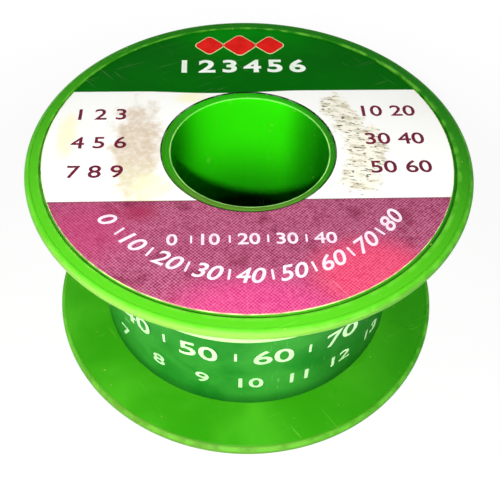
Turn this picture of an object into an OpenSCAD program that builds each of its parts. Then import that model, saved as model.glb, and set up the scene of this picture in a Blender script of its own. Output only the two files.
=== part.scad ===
// Small plastic spool of solder wire: a one-piece moulded spool, its wound wire and two paper labels.
// The bore's axis is Z. The lower rim stands on z = 0, and the front of the labels faces -Y.

/* [Spool] */
// Diameter of both flanges
flange_d = 50; // [44:0.5:70]
// Height of the spool over both rims
spool_h = 25.6; // [18:0.1:40]
// Thickness of a flange at its rim
flange_t = 1.3; // [1:0.05:2.2]
// Radius of the rounding along both sides of a flange's edge
edge_round = 0.6; // [0.2:0.05:1]
// Least flat left between those two roundings
edge_flat = 0.05; // [0.02:0.01:0.5]
// Diameter of the bore
bore_d = 17.8; // [12:0.1:19]
// Wall of the barrel round the bore
barrel_wall = 1.6; // [1:0.1:2.5]
// Radius of the rounding at both mouths of the bore
mouth_round = 0.25; // [0.1:0.05:0.4]
// Width of the ring that stands round each of those mouths
hub_w = 0.65; // [0.45:0.05:1.5]
// Depth of that ring's face below the rim
hub_drop = 0.1; // [0.05:0.01:0.15]

/* [Rim] */
// Width of the raised rim
rim_w = 1.6; // [1.4:0.1:2.5]
// Depth of the label's recess below the rim
recess_depth = 0.3; // [0.2:0.05:0.5]
// Radius of the rounding along the rim's inner side
rim_round = 0.25; // [0.2:0.05:0.4]

/* [Mould line] */
// Width of the fine ridge that the split mould leaves on the inner faces
ridge_w = 0.12; // [0.08:0.01:0.3]
// Height of that ridge
ridge_h = 0.05; // [0.03:0.01:0.12]
// Gap left at both ends of that ridge
ridge_end_gap = 0.3; // [0.1:0.05:0.6]
// Turn of the mould's split line about the bore
ridge_turn = -18.9; // [-90:0.1:90]

/* [Wire] */
// Diameter of the solder wire
wire_d = 0.6; // [0.4:0.05:0.8]
// Diameter over the full winding
winding_d = 37.4; // [32:0.1:40]
// Least gap kept between neighbouring turns of the outer layer
turn_gap = 0.45; // [0.42:0.01:0.8]
// Gap between the winding and the walls of the spool
wind_gap = 0.05; // [0.02:0.01:0.2]
// Azimuth at which the outer layer climbs out of the winding
climb_turn = 70; // [0:5:355]
// Length of the free end that stands off the winding
free_end = 3; // [1:0.5:5]

/* [Wire anchor] */
// Diameter of the hole that anchors the start of the wire
anchor_hole_d = 1.2; // [1:0.1:1.6]
// Azimuth of that hole
anchor_turn = 205; // [0:5:355]
// Gap between that hole and the outside of the barrel
anchor_inset = 0.3; // [0.2:0.1:1]
// How far the start of the wire ends above the surface that the spool stands on
anchor_lift = 0.15; // [0.05:0.05:0.3]

/* [Top label] */
// Mean gap between the round label's edge and the rim
label_edge_gap = 0.35; // [0.35:0.05:3]
// Mean gap between the ring round the bore and the hole in the round label
label_hole_gap = 0.35; // [0.35:0.05:3]
// Thickness of the labels' paper
paper_t = 0.12; // [0.08:0.01:0.2]
// How far the round label sits off the bore's axis, to the right
label_shift_x = -0.22; // [-0.24:0.01:0.24]
// How far the round label sits off the bore's axis, to the back
label_shift_y = 0.15; // [-0.24:0.01:0.24]

/* [Wrap label] */
// Height of the winding left bare above the paper band
bare_above = 7.84; // [1:0.02:10]
// Gap between the band's foot and the lower flange
band_foot_gap = 0.06; // [0.03:0.01:0.5]
// Gap between the winding and the band
band_fit = 0.03; // [0.02:0.01:0.15]
// Angle over which the band's end laps over its start
lap_angle = 24; // [10:1:60]
// Azimuth of the middle of that lap
lap_turn = 90; // [0:5:355]

/* [Hidden] */
$fn = 128;
flange_r = flange_d / 2;
bore_r = bore_d / 2;
barrel_r = bore_r + barrel_wall;
hub_r = bore_r + hub_w;
rim_in_r = flange_r - rim_w;
edge_r = min(edge_round, (flange_t - edge_flat) / 2, rim_w / 2);
mouth_z = hub_drop + mouth_round;
barrel_z = max(mouth_z, recess_depth);
gap_low = flange_t;
gap_high = spool_h - flange_t;

winding_r = winding_d / 2;
wire_r = wire_d / 2;
turn_r = winding_r - wire_r;
core_r = turn_r - wire_d;
core_h = gap_high - gap_low - 2 * wind_gap;
first_turn_z = gap_low + wind_gap + wire_r;
last_turn_z = gap_high - wind_gap - wire_r;
most_turns = 24;
turns = min(most_turns, floor((last_turn_z - first_turn_z) / (wire_d + turn_gap)));
pitch = (last_turn_z - first_turn_z) / turns;
rings_per_turn = 24;
tube_sides = 6;

band_in_r = winding_r + band_fit;
band_out_r = band_in_r + 2 * paper_t;
band_z = gap_low + band_foot_gap;
band_h = gap_high - bare_above - band_z;
label_r = rim_in_r - label_edge_gap;
label_hole_r = hub_r + label_hole_gap;
ridge_in_r = band_out_r + ridge_end_gap;
ridge_out_r = flange_r - edge_r - ridge_end_gap;
anchor_r = barrel_r + anchor_inset + anchor_hole_d / 2;

plastic_green = [0.13, 0.58, 0.06];
solder_grey = [0.72, 0.73, 0.74];
label_mauve = [0.68, 0.25, 0.45];
label_green = [0.00, 0.42, 0.07];

// ---- Spool body: two flanges and the barrel, moulded in one piece ----

// Half section of one flange: x is the radius, and y is measured inwards from the rim's face
module flange_section() {
    translate([bore_r + mouth_round, recess_depth])
        square([rim_in_r - bore_r, flange_t - recess_depth]);
    translate([bore_r + mouth_round, hub_drop])
        square([hub_w - mouth_round, flange_t - hub_drop]);
    translate([bore_r, mouth_z])
        square([hub_w, flange_t - mouth_z]);
    translate([bore_r + mouth_round, mouth_z])
        circle(r = mouth_round);
    translate([rim_in_r, rim_round])
        square([rim_w - edge_r, flange_t - rim_round]);
    translate([rim_in_r + rim_round, 0])
        square([rim_w - edge_r - rim_round, flange_t]);
    translate([rim_in_r + rim_round, rim_round])
        circle(r = rim_round);
    translate([rim_in_r + rim_round, edge_r])
        square([rim_w - rim_round, flange_t - 2 * edge_r]);
    for (y = [edge_r, flange_t - edge_r])
        translate([flange_r - edge_r, y])
            circle(r = edge_r);
}

module spool_section() {
    flange_section();
    translate([0, spool_h])
        mirror([0, 1])
            flange_section();
    translate([bore_r, barrel_z])
        square([barrel_wall, spool_h - 2 * barrel_z]);
}

// Fine radial ridges on both sides of the bore, on one flange's inner face
module mould_ridges() {
    for (side = [0, 180])
        rotate([0, 0, ridge_turn + side])
            translate([ridge_in_r, -ridge_w / 2, -ridge_h])
                cube([ridge_out_r - ridge_in_r, ridge_w, 2 * ridge_h]);
}

module spool_body() {
    color(plastic_green)
        difference() {
            union() {
                rotate_extrude()
                    spool_section();
                translate([0, 0, gap_low])
                    mould_ridges();
                translate([0, 0, gap_high])
                    mould_ridges();
            }
            rotate([0, 0, anchor_turn])
                translate([anchor_r, 0, 0])
                    cylinder(d = anchor_hole_d, h = 2 * flange_t, center = true);
        }
}

// ---- Wire: the layers underneath as one plain core, and the outer layer turn by turn ----

module wound_wire_core() {
    color(solder_grey)
        translate([0, 0, gap_low + wind_gap])
            difference() {
                cylinder(r = core_r, h = core_h);
                translate([0, 0, -wind_gap])
                    cylinder(r = barrel_r + wind_gap, h = core_h + 2 * wind_gap);
            }
}

// Start of the wire, passed down through its hole in the lower flange and cut off inside the rim
module wire_start() {
    color(solder_grey)
        rotate([0, 0, anchor_turn])
            translate([anchor_r, 0, anchor_lift])
                cylinder(d = wire_d, h = gap_low + wind_gap - anchor_lift);
}

// Directions at an azimuth: outwards, along the turn, and square to both
function outward(a) = [cos(a), sin(a), 0];
function along(a) = let (v = [-sin(a), cos(a), pitch / (2 * PI * turn_r)]) v / norm(v);
function across(a) = cross(outward(a), along(a));

// Centre of the wire at ring number i of the outer layer
function ring_turn(i) = climb_turn + 360 * i / rings_per_turn;
function ring_place(i) = turn_r * outward(ring_turn(i)) + [0, 0, first_turn_z + pitch * i / rings_per_turn];

// One ring of the tube: side is the direction of its first corner, up the one square to it
function ring(place, side, up) = [
    for (k = [0 : tube_sides - 1])
        place + wire_r * (cos(360 * k / tube_sides) * side + sin(360 * k / tube_sides) * up)
];

ring_count = turns * rings_per_turn;
start_turn = ring_turn(0);
end_turn = ring_turn(ring_count);

// The tube leaves the core square to it, turns into the layer, and its free end runs straight
climb_rings = [
    ring(ring_place(0) - wire_d * outward(start_turn), -along(start_turn), across(start_turn)),
    ring(ring_place(0), outward(start_turn) - along(start_turn), across(start_turn))
];
layer_rings = [
    for (i = [1 : ring_count])
        ring(ring_place(i), outward(ring_turn(i)), across(ring_turn(i)))
];
end_ring = ring(ring_place(ring_count) + free_end * [-sin(end_turn), cos(end_turn), 0],
                outward(end_turn), across(end_turn));
tube_rings = concat(climb_rings, layer_rings, [end_ring]);

// Least distance between the wire and the next turn, measured between the rings' centres
turn_gaps = [
    for (i = [0 : ring_count - rings_per_turn], near = [-1 : 1])
        if (i + near >= 0)
            norm(ring_place(i + rings_per_turn) - ring_place(i + near)) - wire_d
];
echo(turns = turns, least_gap_to_itself = min(turn_gaps));

module tube(rings) {
    last = len(rings) - 1;
    points = [for (r = rings) each r];
    walls = [
        for (i = [0 : last - 1], k = [0 : tube_sides - 1])
            let (a = i * tube_sides + k, b = i * tube_sides + (k + 1) % tube_sides)
                each [[a, b + tube_sides, b], [a, a + tube_sides, b + tube_sides]]
    ];
    first_cap = [for (k = [1 : tube_sides - 2]) [0, k, k + 1]];
    end = last * tube_sides;
    last_cap = [for (k = [1 : tube_sides - 2]) [end, end + k + 1, end + k]];
    polyhedron(points = points, faces = concat(first_cap, walls, last_cap), convexity = 10);
}

module outer_turns() {
    color(solder_grey)
        tube(tube_rings);
}

// ---- Labels ----

// Round paper label in the upper recess, with its hole clear of the bore
module top_label() {
    color(label_mauve)
        translate([label_shift_x, label_shift_y, spool_h - recess_depth])
            difference() {
                cylinder(r = label_r, h = paper_t);
                translate([0, 0, -paper_t])
                    cylinder(r = label_hole_r, h = 3 * paper_t);
            }
}

// Paper band round the winding, with its end lapped over its start
module wrap_label() {
    color(label_green)
        translate([0, 0, band_z]) {
            difference() {
                cylinder(r = band_in_r + paper_t, h = band_h);
                translate([0, 0, -paper_t])
                    cylinder(r = band_in_r, h = band_h + 2 * paper_t);
            }
            rotate([0, 0, lap_turn - lap_angle / 2])
                rotate_extrude(angle = lap_angle)
                    translate([band_in_r + paper_t / 2, 0])
                        square([1.5 * paper_t, band_h]);
        }
}

spool_body();
wound_wire_core();
outer_turns();
wire_start();
top_label();
wrap_label();
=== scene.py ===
"""Looks of a small spool of solder wire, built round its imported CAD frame.

Sizes are in millimetres and turned into metres as a mesh is made, except in the studio, where each
says its unit. The bore's axis is Z, the lower rim stands on z = 0 and the labels' front faces -Y.
"""

import logging
import math
from dataclasses import dataclass, field
from enum import Enum
from typing import Callable, Iterable, Sequence, Union

import bmesh
import bpy
from mathutils import Matrix, Vector


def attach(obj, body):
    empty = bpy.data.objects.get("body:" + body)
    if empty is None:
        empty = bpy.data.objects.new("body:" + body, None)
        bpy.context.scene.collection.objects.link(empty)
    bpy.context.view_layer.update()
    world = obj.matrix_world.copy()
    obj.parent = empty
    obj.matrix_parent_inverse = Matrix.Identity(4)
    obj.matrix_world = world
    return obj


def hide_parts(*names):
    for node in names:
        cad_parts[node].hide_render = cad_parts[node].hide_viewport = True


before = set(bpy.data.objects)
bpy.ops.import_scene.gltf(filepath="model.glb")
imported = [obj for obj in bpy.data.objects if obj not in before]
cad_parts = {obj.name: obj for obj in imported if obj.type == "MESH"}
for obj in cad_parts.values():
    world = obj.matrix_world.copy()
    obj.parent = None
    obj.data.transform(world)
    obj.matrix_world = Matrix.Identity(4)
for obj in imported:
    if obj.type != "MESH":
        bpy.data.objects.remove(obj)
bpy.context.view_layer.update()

MM = 0.001
BODY = "root"
WELD = 1e-6  # metres: corners nearer than this are welded
LARGE_FACES = 80  # how strongly normals follow the larger faces, of 100
PAPER_SMOOTH_TO = 30.0  # degrees: sharper edges of paper stay sharp
LOG = logging.getLogger("solder_spool")

Colour = tuple[float, float, float, float]
Point2 = tuple[float, float]
Point3 = tuple[float, float, float]
Piece = bpy.types.Object
Material = bpy.types.Material
NodeTree = bpy.types.NodeTree
Node = bpy.types.Node
Socket = bpy.types.NodeSocket
Feed = Union[float, int, Sequence[float], Socket]


class Slot(Enum):
    """Material slots that the record names."""

    PLASTIC = "green_plastic"
    SOLDER = "solder_wire"
    ROUND_LABEL = "round_label"
    BAND_LABEL = "band_label"


def srgb(red: float, green: float, blue: float) -> Colour:
    """Turns a display colour into a linear one.

    Args:
        red: Red from 0 to 255.
        green: Green from 0 to 255.
        blue: Blue from 0 to 255.

    Returns:
        The linear colour with an alpha of 1.
    """

    def linear(value: float) -> float:
        """Turns one display value into a linear one, by the sRGB curve."""
        share = value / 255
        return share / 12.92 if share <= 0.04045 else ((share + 0.055) / 1.055) ** 2.4

    return (linear(red), linear(green), linear(blue), 1.0)


def polar(radius: float, angle: float, height: float = 0.0) -> Vector:
    """Gives a point by its radius, its azimuth from +X in radians and its height."""
    return Vector((radius * math.cos(angle), radius * math.sin(angle), height))


# ---------------------------------------------------------------- modelling


class Bench:
    """Modelling moves that every sub-assembly uses."""

    @staticmethod
    def clear() -> None:
        """Leaves edit mode and deselects every object."""
        if bpy.context.object is not None and bpy.context.object.mode != "OBJECT":
            Bench.close()
        bpy.ops.object.select_all(action="DESELECT")

    @staticmethod
    def take(piece: Piece, *others: Piece) -> None:
        """Selects only these objects and makes the first one active.

        Args:
            piece: The object to make active.
            others: More objects to select with it.
        """
        Bench.clear()
        for one in (piece, *others):
            one.select_set(True)
        bpy.context.view_layer.objects.active = piece

    @staticmethod
    def open(piece: Piece, action: str = "SELECT") -> None:
        """Opens a piece in edit mode.

        Args:
            piece: The object to edit.
            action: What happens to its selection, SELECT or DESELECT.
        """
        Bench.take(piece)
        bpy.ops.object.mode_set(mode="EDIT")
        bpy.ops.mesh.select_mode(type="VERT")
        bpy.ops.mesh.select_all(action=action)

    @staticmethod
    def close() -> None:
        """Leaves edit mode."""
        bpy.ops.object.mode_set(mode="OBJECT")

    @staticmethod
    def pick(piece: Piece, test: Callable[[Vector], bool]) -> None:
        """Selects, in edit mode, the corners that pass a test and what they bound.

        Args:
            piece: The object in edit mode.
            test: Says of a corner's place whether it is selected.
        """
        bpy.ops.mesh.select_all(action="DESELECT")
        mesh = bmesh.from_edit_mesh(piece.data)
        for corner in mesh.verts:
            corner.select_set(test(corner.co))
        mesh.select_flush(True)
        bmesh.update_edit_mesh(piece.data)

    @staticmethod
    def settle(piece: Piece) -> None:
        """Moves a piece's place, turn and scale into its mesh."""
        Bench.take(piece)
        bpy.ops.object.transform_apply(location=True, rotation=True, scale=True)

    @staticmethod
    def modify(piece: Piece, kind: str, **settings: object) -> None:
        """Adds a modifier to a piece and applies it.

        Args:
            piece: The object to change.
            kind: Blender's name for the modifier's type.
            settings: Values set on the modifier.
        """
        Bench.take(piece)
        bpy.ops.object.modifier_add(type=kind)
        modifier = piece.modifiers[-1]
        for name, value in settings.items():
            setattr(modifier, name, value)
        bpy.ops.object.modifier_apply(modifier=modifier.name)

    @staticmethod
    def cut(piece: Piece, tool: Piece, operation: str) -> None:
        """Joins a tool to a piece, or cuts it away, and removes the tool.

        Args:
            piece: The object to change.
            tool: The closed shape that is joined or cut away.
            operation: UNION or DIFFERENCE.
        """
        Bench.modify(piece, "BOOLEAN", operation=operation, object=tool, solver="EXACT")
        bpy.data.objects.remove(tool)

    @staticmethod
    def join(name: str, pieces: Sequence[Piece]) -> Piece:
        """Joins pieces into one object.

        Args:
            name: The name of the joined piece.
            pieces: The objects to join.

        Returns:
            The joined object.
        """
        Bench.take(*pieces)
        if len(pieces) > 1:
            bpy.ops.object.join()
        joined = bpy.context.object
        joined.name = joined.data.name = name
        return joined

    @staticmethod
    def face_out(piece: Piece) -> None:
        """Welds doubled corners and turns every face outwards.

        Args:
            piece: The closed piece to change.
        """
        Bench.open(piece)
        bpy.ops.mesh.remove_doubles(threshold=WELD)
        bpy.ops.mesh.normals_make_consistent(inside=False)
        Bench.close()

    @staticmethod
    def smooth(piece: Piece, degrees: float, weighted: bool = True) -> None:
        """Shades a piece smooth up to an angle, and keeps its flats flat.

        Args:
            piece: The object to shade.
            degrees: Edges sharper than this stay sharp.
            weighted: Whether normals follow the larger faces.
        """
        Bench.take(piece)
        bpy.ops.object.shade_smooth_by_angle(angle=math.radians(degrees))
        if weighted:
            Bench.modify(piece, "WEIGHTED_NORMAL", weight=LARGE_FACES, keep_sharp=True)

    @staticmethod
    def hand_over(piece: Piece, slot: Slot, finish: Material, stands_for: Sequence[str] = ()) -> None:
        """Gives a piece its finish and lets it ride with the spool.

        Args:
            piece: The finished piece.
            slot: The record's slot for the piece's finish; not used.
            finish: The material to put on it.
            stands_for: CAD nodes that it replaces.
        """
        Bench.clear()
        piece.data.materials.clear()
        piece.data.materials.append(finish)
        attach(piece, BODY)
        if stands_for:
            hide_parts(*stands_for)
        LOG.info("%s: %d faces", piece.name, len(piece.data.polygons))


@dataclass
class Lathe:
    """Turns the section of a ring into a solid of revolution about Z.

    Attributes:
        segments: Faces round one turn.
        reach: How far a corner may lie from a ring that is looked for.
    """

    segments: int = 192
    reach: float = 0.004

    def turn(self, name: str, section: Sequence[Point2]) -> Piece:
        """Draws one ring and pulls it along a closed section.

        Args:
            name: The name of the piece.
            section: Radius and height of each corner, in order round the section.

        Returns:
            The closed piece, with its faces outwards.
        """
        Bench.clear()
        radius, height = section[0]
        bpy.ops.mesh.primitive_circle_add(
            vertices=self.segments, radius=radius * MM, location=(0, 0, height * MM)
        )
        piece = bpy.context.object
        piece.name = piece.data.name = name
        Bench.settle(piece)
        Bench.open(piece)
        for next_radius, next_height in (*section[1:], section[0]):
            lift = (0, 0, (next_height - height) * MM)
            bpy.ops.mesh.extrude_edges_move(TRANSFORM_OT_translate={"value": lift})
            share = next_radius / radius
            bpy.ops.transform.resize(value=(share, share, 1), center_override=(0, 0, 0))
            radius, height = next_radius, next_height
        Bench.face_out(piece)
        return piece

    def round_ring(self, piece: Piece, ring: Point2, amount: float, steps: int) -> None:
        """Rounds the edge that runs round a piece at one radius and height.

        Args:
            piece: A piece that this lathe has turned.
            ring: Radius and height of the edge.
            amount: Size of the rounding.
            steps: Faces across it.
        """
        Bench.open(piece, "DESELECT")
        radius, height = ring

        def on_ring(place: Vector) -> bool:
            """Whether a corner lies on the ring."""
            off = math.hypot(place.x, place.y) / MM - radius
            return abs(off) < self.reach and abs(place.z / MM - height) < self.reach

        Bench.pick(piece, on_ring)
        bpy.ops.mesh.bevel(offset=amount * MM, segments=steps, affect="EDGES")
        Bench.close()


@dataclass(frozen=True)
class Bar:
    """A printed mark that is a short flat bar.

    Attributes:
        length: Its size across.
        width: Its size upwards.
    """

    length: float
    width: float


Mark = Union[str, Bar]


@dataclass(frozen=True)
class Row:
    """A row of marks at even distances.

    Attributes:
        count: Number of marks.
        middle: Place of the row's middle.
        pace: Distance between two marks.
        level: Where the row lies the other way.
    """

    count: int
    middle: float
    pace: float
    level: float

    def places(self) -> list[float]:
        """Gives the marks' places along the row."""
        return [self.middle + (index - (self.count - 1) / 2) * self.pace for index in range(self.count)]


@dataclass(frozen=True)
class Stamp:
    """Where one printed mark goes.

    Attributes:
        mark: The figures, or a bar.
        place: The mark's centre in millimetres.
        right: Direction of the mark's right-hand side.
        up: Direction of its top.
        grow: Factor on its size.
    """

    mark: Mark
    place: Point3
    right: Point3 = (1, 0, 0)
    up: Point3 = (0, 1, 0)
    grow: float = 1.0

    def matrix(self) -> Matrix:
        """Gives the placing of a mark that was drawn at the origin, facing +Z.

        Returns:
            The matrix that puts it in its place.
        """
        right, up = Vector(self.right).normalized(), Vector(self.up).normalized()
        turn = Matrix((right, up, right.cross(up))).transposed().to_4x4()
        return Matrix.Translation(Vector(self.place) * MM) @ turn @ Matrix.Scale(self.grow, 4)


@dataclass
class Printer:
    """Sets raised marks once and copies each to its places.

    Attributes:
        figure_height: Height of a figure.
        ink: Thickness of the ink.
        stretch: Factor on a figure's width.
        weight: How much the strokes are thickened, as a share of the height.
        slant: How far the figures lean.
        cap_share: A figure's height as a share of the font's size.
        curve_steps: Corners along each curve of a figure.
        rise: Half the figures' thickness before it is set, in sizes of the font.
        bar_round: Rounding of a bar's corners, as a share of its smaller side.
        bar_steps: Faces across that rounding.
    """

    figure_height: float = 2.2
    ink: float = 0.03
    stretch: float = 1.0
    weight: float = 0.015
    slant: float = 0.0
    cap_share: float = 0.73
    curve_steps: int = 4
    rise: float = 0.1
    bar_round: float = 0.35
    bar_steps: int = 3

    def _figures(self, text: str) -> Piece:
        """Sets plain figures at the origin, facing +Z.

        Args:
            text: Digits only.

        Returns:
            The figures as one closed mesh.
        """
        Bench.clear()
        size = self.figure_height * MM / self.cap_share
        bpy.ops.object.text_add(location=(0, 0, 0))
        made = bpy.context.object
        made.data.body = text
        made.data.align_x = "CENTER"
        made.data.resolution_u = self.curve_steps
        made.data.shear = self.slant
        made.data.extrude = self.rise
        bpy.ops.object.convert(target="MESH")
        made = bpy.context.object
        Bench.open(made)
        bpy.ops.mesh.remove_doubles(threshold=WELD)
        bpy.ops.mesh.normals_make_consistent(inside=False)
        bpy.ops.transform.shrink_fatten(value=self.weight, use_even_offset=True)
        Bench.close()
        bpy.ops.object.origin_set(type="ORIGIN_GEOMETRY", center="BOUNDS")
        made.location = (0, 0, 0)
        wide, tall, _ = made.dimensions
        made.dimensions = (wide * size * self.stretch, tall * size, self.ink * MM)
        Bench.settle(made)
        return made

    def _bar(self, size: Bar) -> Piece:
        """Makes a short flat bar with rounded corners at the origin.

        Args:
            size: Its length along X and its width along Y.

        Returns:
            The bar.
        """
        Bench.clear()
        bpy.ops.mesh.primitive_plane_add(size=1, location=(0, 0, -self.ink * MM / 2))
        bar = bpy.context.object
        bar.scale = (size.length * MM, size.width * MM, 1)
        Bench.settle(bar)
        Bench.open(bar)
        corner = min(size.length, size.width) * MM * self.bar_round
        bpy.ops.mesh.bevel(offset=corner, segments=self.bar_steps, affect="VERTICES")
        bpy.ops.mesh.select_all(action="SELECT")
        bpy.ops.mesh.extrude_region_move(TRANSFORM_OT_translate={"value": (0, 0, self.ink * MM)})
        Bench.face_out(bar)
        return bar

    def _make(self, mark: Mark) -> Piece:
        """Makes one mark: a bar or plain figures."""
        return self._bar(mark) if isinstance(mark, Bar) else self._figures(mark)

    def run(self, name: str, stamps: Iterable[Stamp]) -> Piece:
        """Prints a row of marks as one piece.

        Args:
            name: The name of the piece.
            stamps: What goes where.

        Returns:
            The piece, in its place.
        """
        masters: dict[Mark, Piece] = {}
        copies: list[Piece] = []
        for stamp in stamps:
            if stamp.mark not in masters:
                masters[stamp.mark] = self._make(stamp.mark)
            Bench.take(masters[stamp.mark])
            bpy.ops.object.duplicate()
            copy = bpy.context.object
            copy.matrix_world = stamp.matrix()
            Bench.settle(copy)
            copies.append(copy)
        for master in masters.values():
            bpy.data.objects.remove(master)
        return Bench.join(name, copies)


# ---------------------------------------------------------------- shading


@dataclass(frozen=True)
class Patches:
    """A cloudy pattern that turns smoothly from one share to another.

    Attributes:
        scale: How fine the noise is.
        detail: How much finer noise lies on it.
        span: Values of the noise where the change begins and where it is complete.
        shares: The two shares.
        twist: How far the noise is bent.
    """

    scale: float
    detail: float
    span: Point2
    shares: Point2 = (0.0, 1.0)
    twist: float = 0.0


@dataclass(frozen=True)
class Oval:
    """An oval in the plane of a print.

    Attributes:
        centre: Its middle.
        half: Its half width and half height.
    """

    centre: Point2
    half: Point2


class Sketch:
    """Adds nodes to one tree and joins them.

    Attributes:
        tree: The node tree that is drawn.
    """

    def __init__(self, tree: NodeTree) -> None:
        """Keeps the tree that is drawn."""
        self.tree = tree

    def node(self, kind: str, **settings: object) -> Node:
        """Adds one node and sets its properties.

        Args:
            kind: Blender's name for the node's type.
            settings: Values set on the node.

        Returns:
            The node.
        """
        made = self.tree.nodes.new(kind)
        for name, value in settings.items():
            setattr(made, name, value)
        return made

    def feed(self, socket: Socket, value: Feed) -> None:
        """Links a socket to another one, or sets it to a plain value.

        Args:
            socket: The input to feed.
            value: An output socket, a number or several numbers.
        """
        if isinstance(value, Socket):
            self.tree.links.new(value, socket)
        else:
            socket.default_value = value

    def fill(self, node: Node, values: dict[str, Feed]) -> None:
        """Feeds several inputs of a node by their names."""
        for name, value in values.items():
            self.feed(node.inputs[name], value)

    def join(self, node: Node, *values: Feed) -> Socket:
        """Feeds the first inputs of a node.

        Args:
            node: The node.
            values: What they are fed with, in order.

        Returns:
            The node's first output.
        """
        for socket, value in zip(node.inputs, values):
            self.feed(socket, value)
        return node.outputs[0]

    def math(self, operation: str, *values: Feed) -> Socket:
        """Joins one Math node and gives its output."""
        return self.join(self.node("ShaderNodeMath", operation=operation), *values)

    def vector(self, operation: str, *values: Feed) -> Socket:
        """Joins one Vector Math node and gives its output."""
        return self.join(self.node("ShaderNodeVectorMath", operation=operation), *values)

    def step(self, value: Feed, low: float, high: float, to: Point2 = (0.0, 1.0)) -> Socket:
        """Turns a value smoothly from one number to another between two limits.

        Args:
            value: What is turned.
            low: The limit where the first number holds.
            high: The limit where the second number holds.
            to: The two numbers.

        Returns:
            The result's output.
        """
        made = self.node("ShaderNodeMapRange", interpolation_type="SMOOTHSTEP")
        return self.join(made, value, low, high, *to)

    def weigh(self, values: Sequence[Feed], shares: Sequence[float], base: float = 0.0) -> Socket:
        """Adds up values, each by its own share.

        Args:
            values: What is added up.
            shares: The factor on each of them.
            base: The number that they are added to.

        Returns:
            The sum's output.
        """
        total: Feed = base
        for value, share in zip(values, shares):
            total = self.math("MULTIPLY_ADD", value, share, total)
        return total

    def blend(self, share: Feed, below: Feed, above: Feed) -> Socket:
        """Mixes two colours.

        Args:
            share: How much of the second one shows.
            below: The first colour.
            above: The second colour.

        Returns:
            The mixed colour's output.
        """
        made = self.node("ShaderNodeMix", data_type="RGBA", clamp_factor=True)
        self.feed(made.inputs["Factor"], share)
        sockets = [socket for socket in made.inputs if socket.type == "RGBA"]
        self.feed(sockets[0], below)
        self.feed(sockets[1], above)
        return next(socket for socket in made.outputs if socket.type == "RGBA")

    def tint(self, colour: Feed, tone: Feed, mask: Feed, share: float = 1.0) -> Socket:
        """Lays a tone over a colour where a mask shows it.

        Args:
            colour: The colour so far.
            tone: The colour that is laid on.
            mask: Where it shows, from 0 to 1.
            share: How much of it shows where the mask is 1.

        Returns:
            The new colour's output.
        """
        if share != 1.0:
            mask = self.math("MULTIPLY", mask, share)
        return self.blend(mask, colour, tone)

    def noise(self, place: Feed, scale: float, detail: float, twist: float = 0.0) -> Socket:
        """Joins one Noise Texture.

        Args:
            place: The point that is read.
            scale: Its scale.
            detail: Its detail.
            twist: Its distortion.

        Returns:
            The value's output.
        """
        made = self.node("ShaderNodeTexNoise")
        self.fill(made, {"Vector": place, "Scale": scale, "Detail": detail, "Distortion": twist})
        return made.outputs[0]

    def patches(self, place: Feed, kind: Patches) -> Socket:
        """Draws a cloudy pattern.

        Args:
            place: The point that is read.
            kind: The pattern.

        Returns:
            The share's output.
        """
        return self.step(self.noise(place, kind.scale, kind.detail, kind.twist), *kind.span, kind.shares)

    def mapped(
        self, place: Feed, shift: Sequence[float], turn: float, scale: Sequence[float]
    ) -> Socket:
        """Reads a point in another system of axes.

        Args:
            place: The point.
            shift: Where the other system's origin lies.
            turn: Its turn about Z, in degrees.
            scale: Lengths of its units.

        Returns:
            The vector's output.
        """
        made = self.node("ShaderNodeMapping", vector_type="TEXTURE")
        turned = (0, 0, math.radians(turn))
        self.fill(made, {"Vector": place, "Location": shift, "Rotation": turned, "Scale": scale})
        return made.outputs[0]

    def place_mm(self, shift: Sequence[float] = (0, 0, 0), turn: float = 0.0) -> Socket:
        """Reads the point in millimetres, seen from a shifted and turned origin.

        Args:
            shift: The origin, in millimetres.
            turn: Its turn about Z, in degrees.

        Returns:
            The vector's output.
        """
        point = self.node("ShaderNodeTexCoord").outputs["Object"]
        return self.mapped(point, [value * MM for value in shift], turn, (MM, MM, MM))

    def split(self, vector: Feed) -> list[Socket]:
        """Splits a vector into its three values."""
        return list(self.join(self.node("ShaderNodeSeparateXYZ"), vector).node.outputs)

    def merge(self, *values: Feed) -> Socket:
        """Makes a vector of up to three values."""
        return self.join(self.node("ShaderNodeCombineXYZ"), *values)

    def radius(self, across: Feed, along: Feed) -> Socket:
        """Gives the distance of a point from the origin, in the plane."""
        squares = self.math("MULTIPLY", across, across)
        return self.math("SQRT", self.math("MULTIPLY_ADD", along, along, squares))

    def spots(self, place: Feed, *ovals: Oval) -> Socket:
        """Gives how near a point is to the middle of the nearest of some ovals.

        Args:
            place: The point.
            ovals: The ovals.

        Returns:
            1 in a middle, 0 on an oval's edge, and down to -1 outside all of them.
        """
        values = self.split(place)
        nearest: Feed = -1.0
        for oval in ovals:
            parts = [
                self.math("DIVIDE", self.math("SUBTRACT", value, middle), reach)
                for value, middle, reach in zip(values, oval.centre, oval.half)
            ]
            near = self.math("SUBTRACT", 1.0, self.radius(*parts))
            nearest = self.math("MAXIMUM", nearest, near)
        return nearest

    def group(self, effect: "Effect", **values: Feed) -> list[Socket]:
        """Places a shared effect.

        Args:
            effect: The effect.
            values: What its inputs are fed with, by their names.

        Returns:
            Its outputs.
        """
        made = self.node("ShaderNodeGroup", node_tree=effect.tree())
        self.fill(made, {name.title(): value for name, value in values.items()})
        return list(made.outputs)

    def bump(self, height: Feed, distance: float) -> Socket:
        """Gives the normal of a height.

        Args:
            height: The height's output.
            distance: What a height of 1 stands for, in millimetres.

        Returns:
            The normal's output.
        """
        made = self.node("ShaderNodeBump")
        self.fill(made, {"Distance": distance * MM, "Height": height})
        return made.outputs[0]

    def seen(self) -> Socket:
        """Gives 1 to rays from the camera, also after a mirroring or through glass.

        Returns:
            The value's output.
        """
        rays = self.node("ShaderNodeLightPath")
        seen = self.math("MAXIMUM", rays.outputs["Is Camera Ray"], rays.outputs["Is Glossy Ray"])
        return self.math("MAXIMUM", seen, rays.outputs["Is Transmission Ray"])


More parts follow.
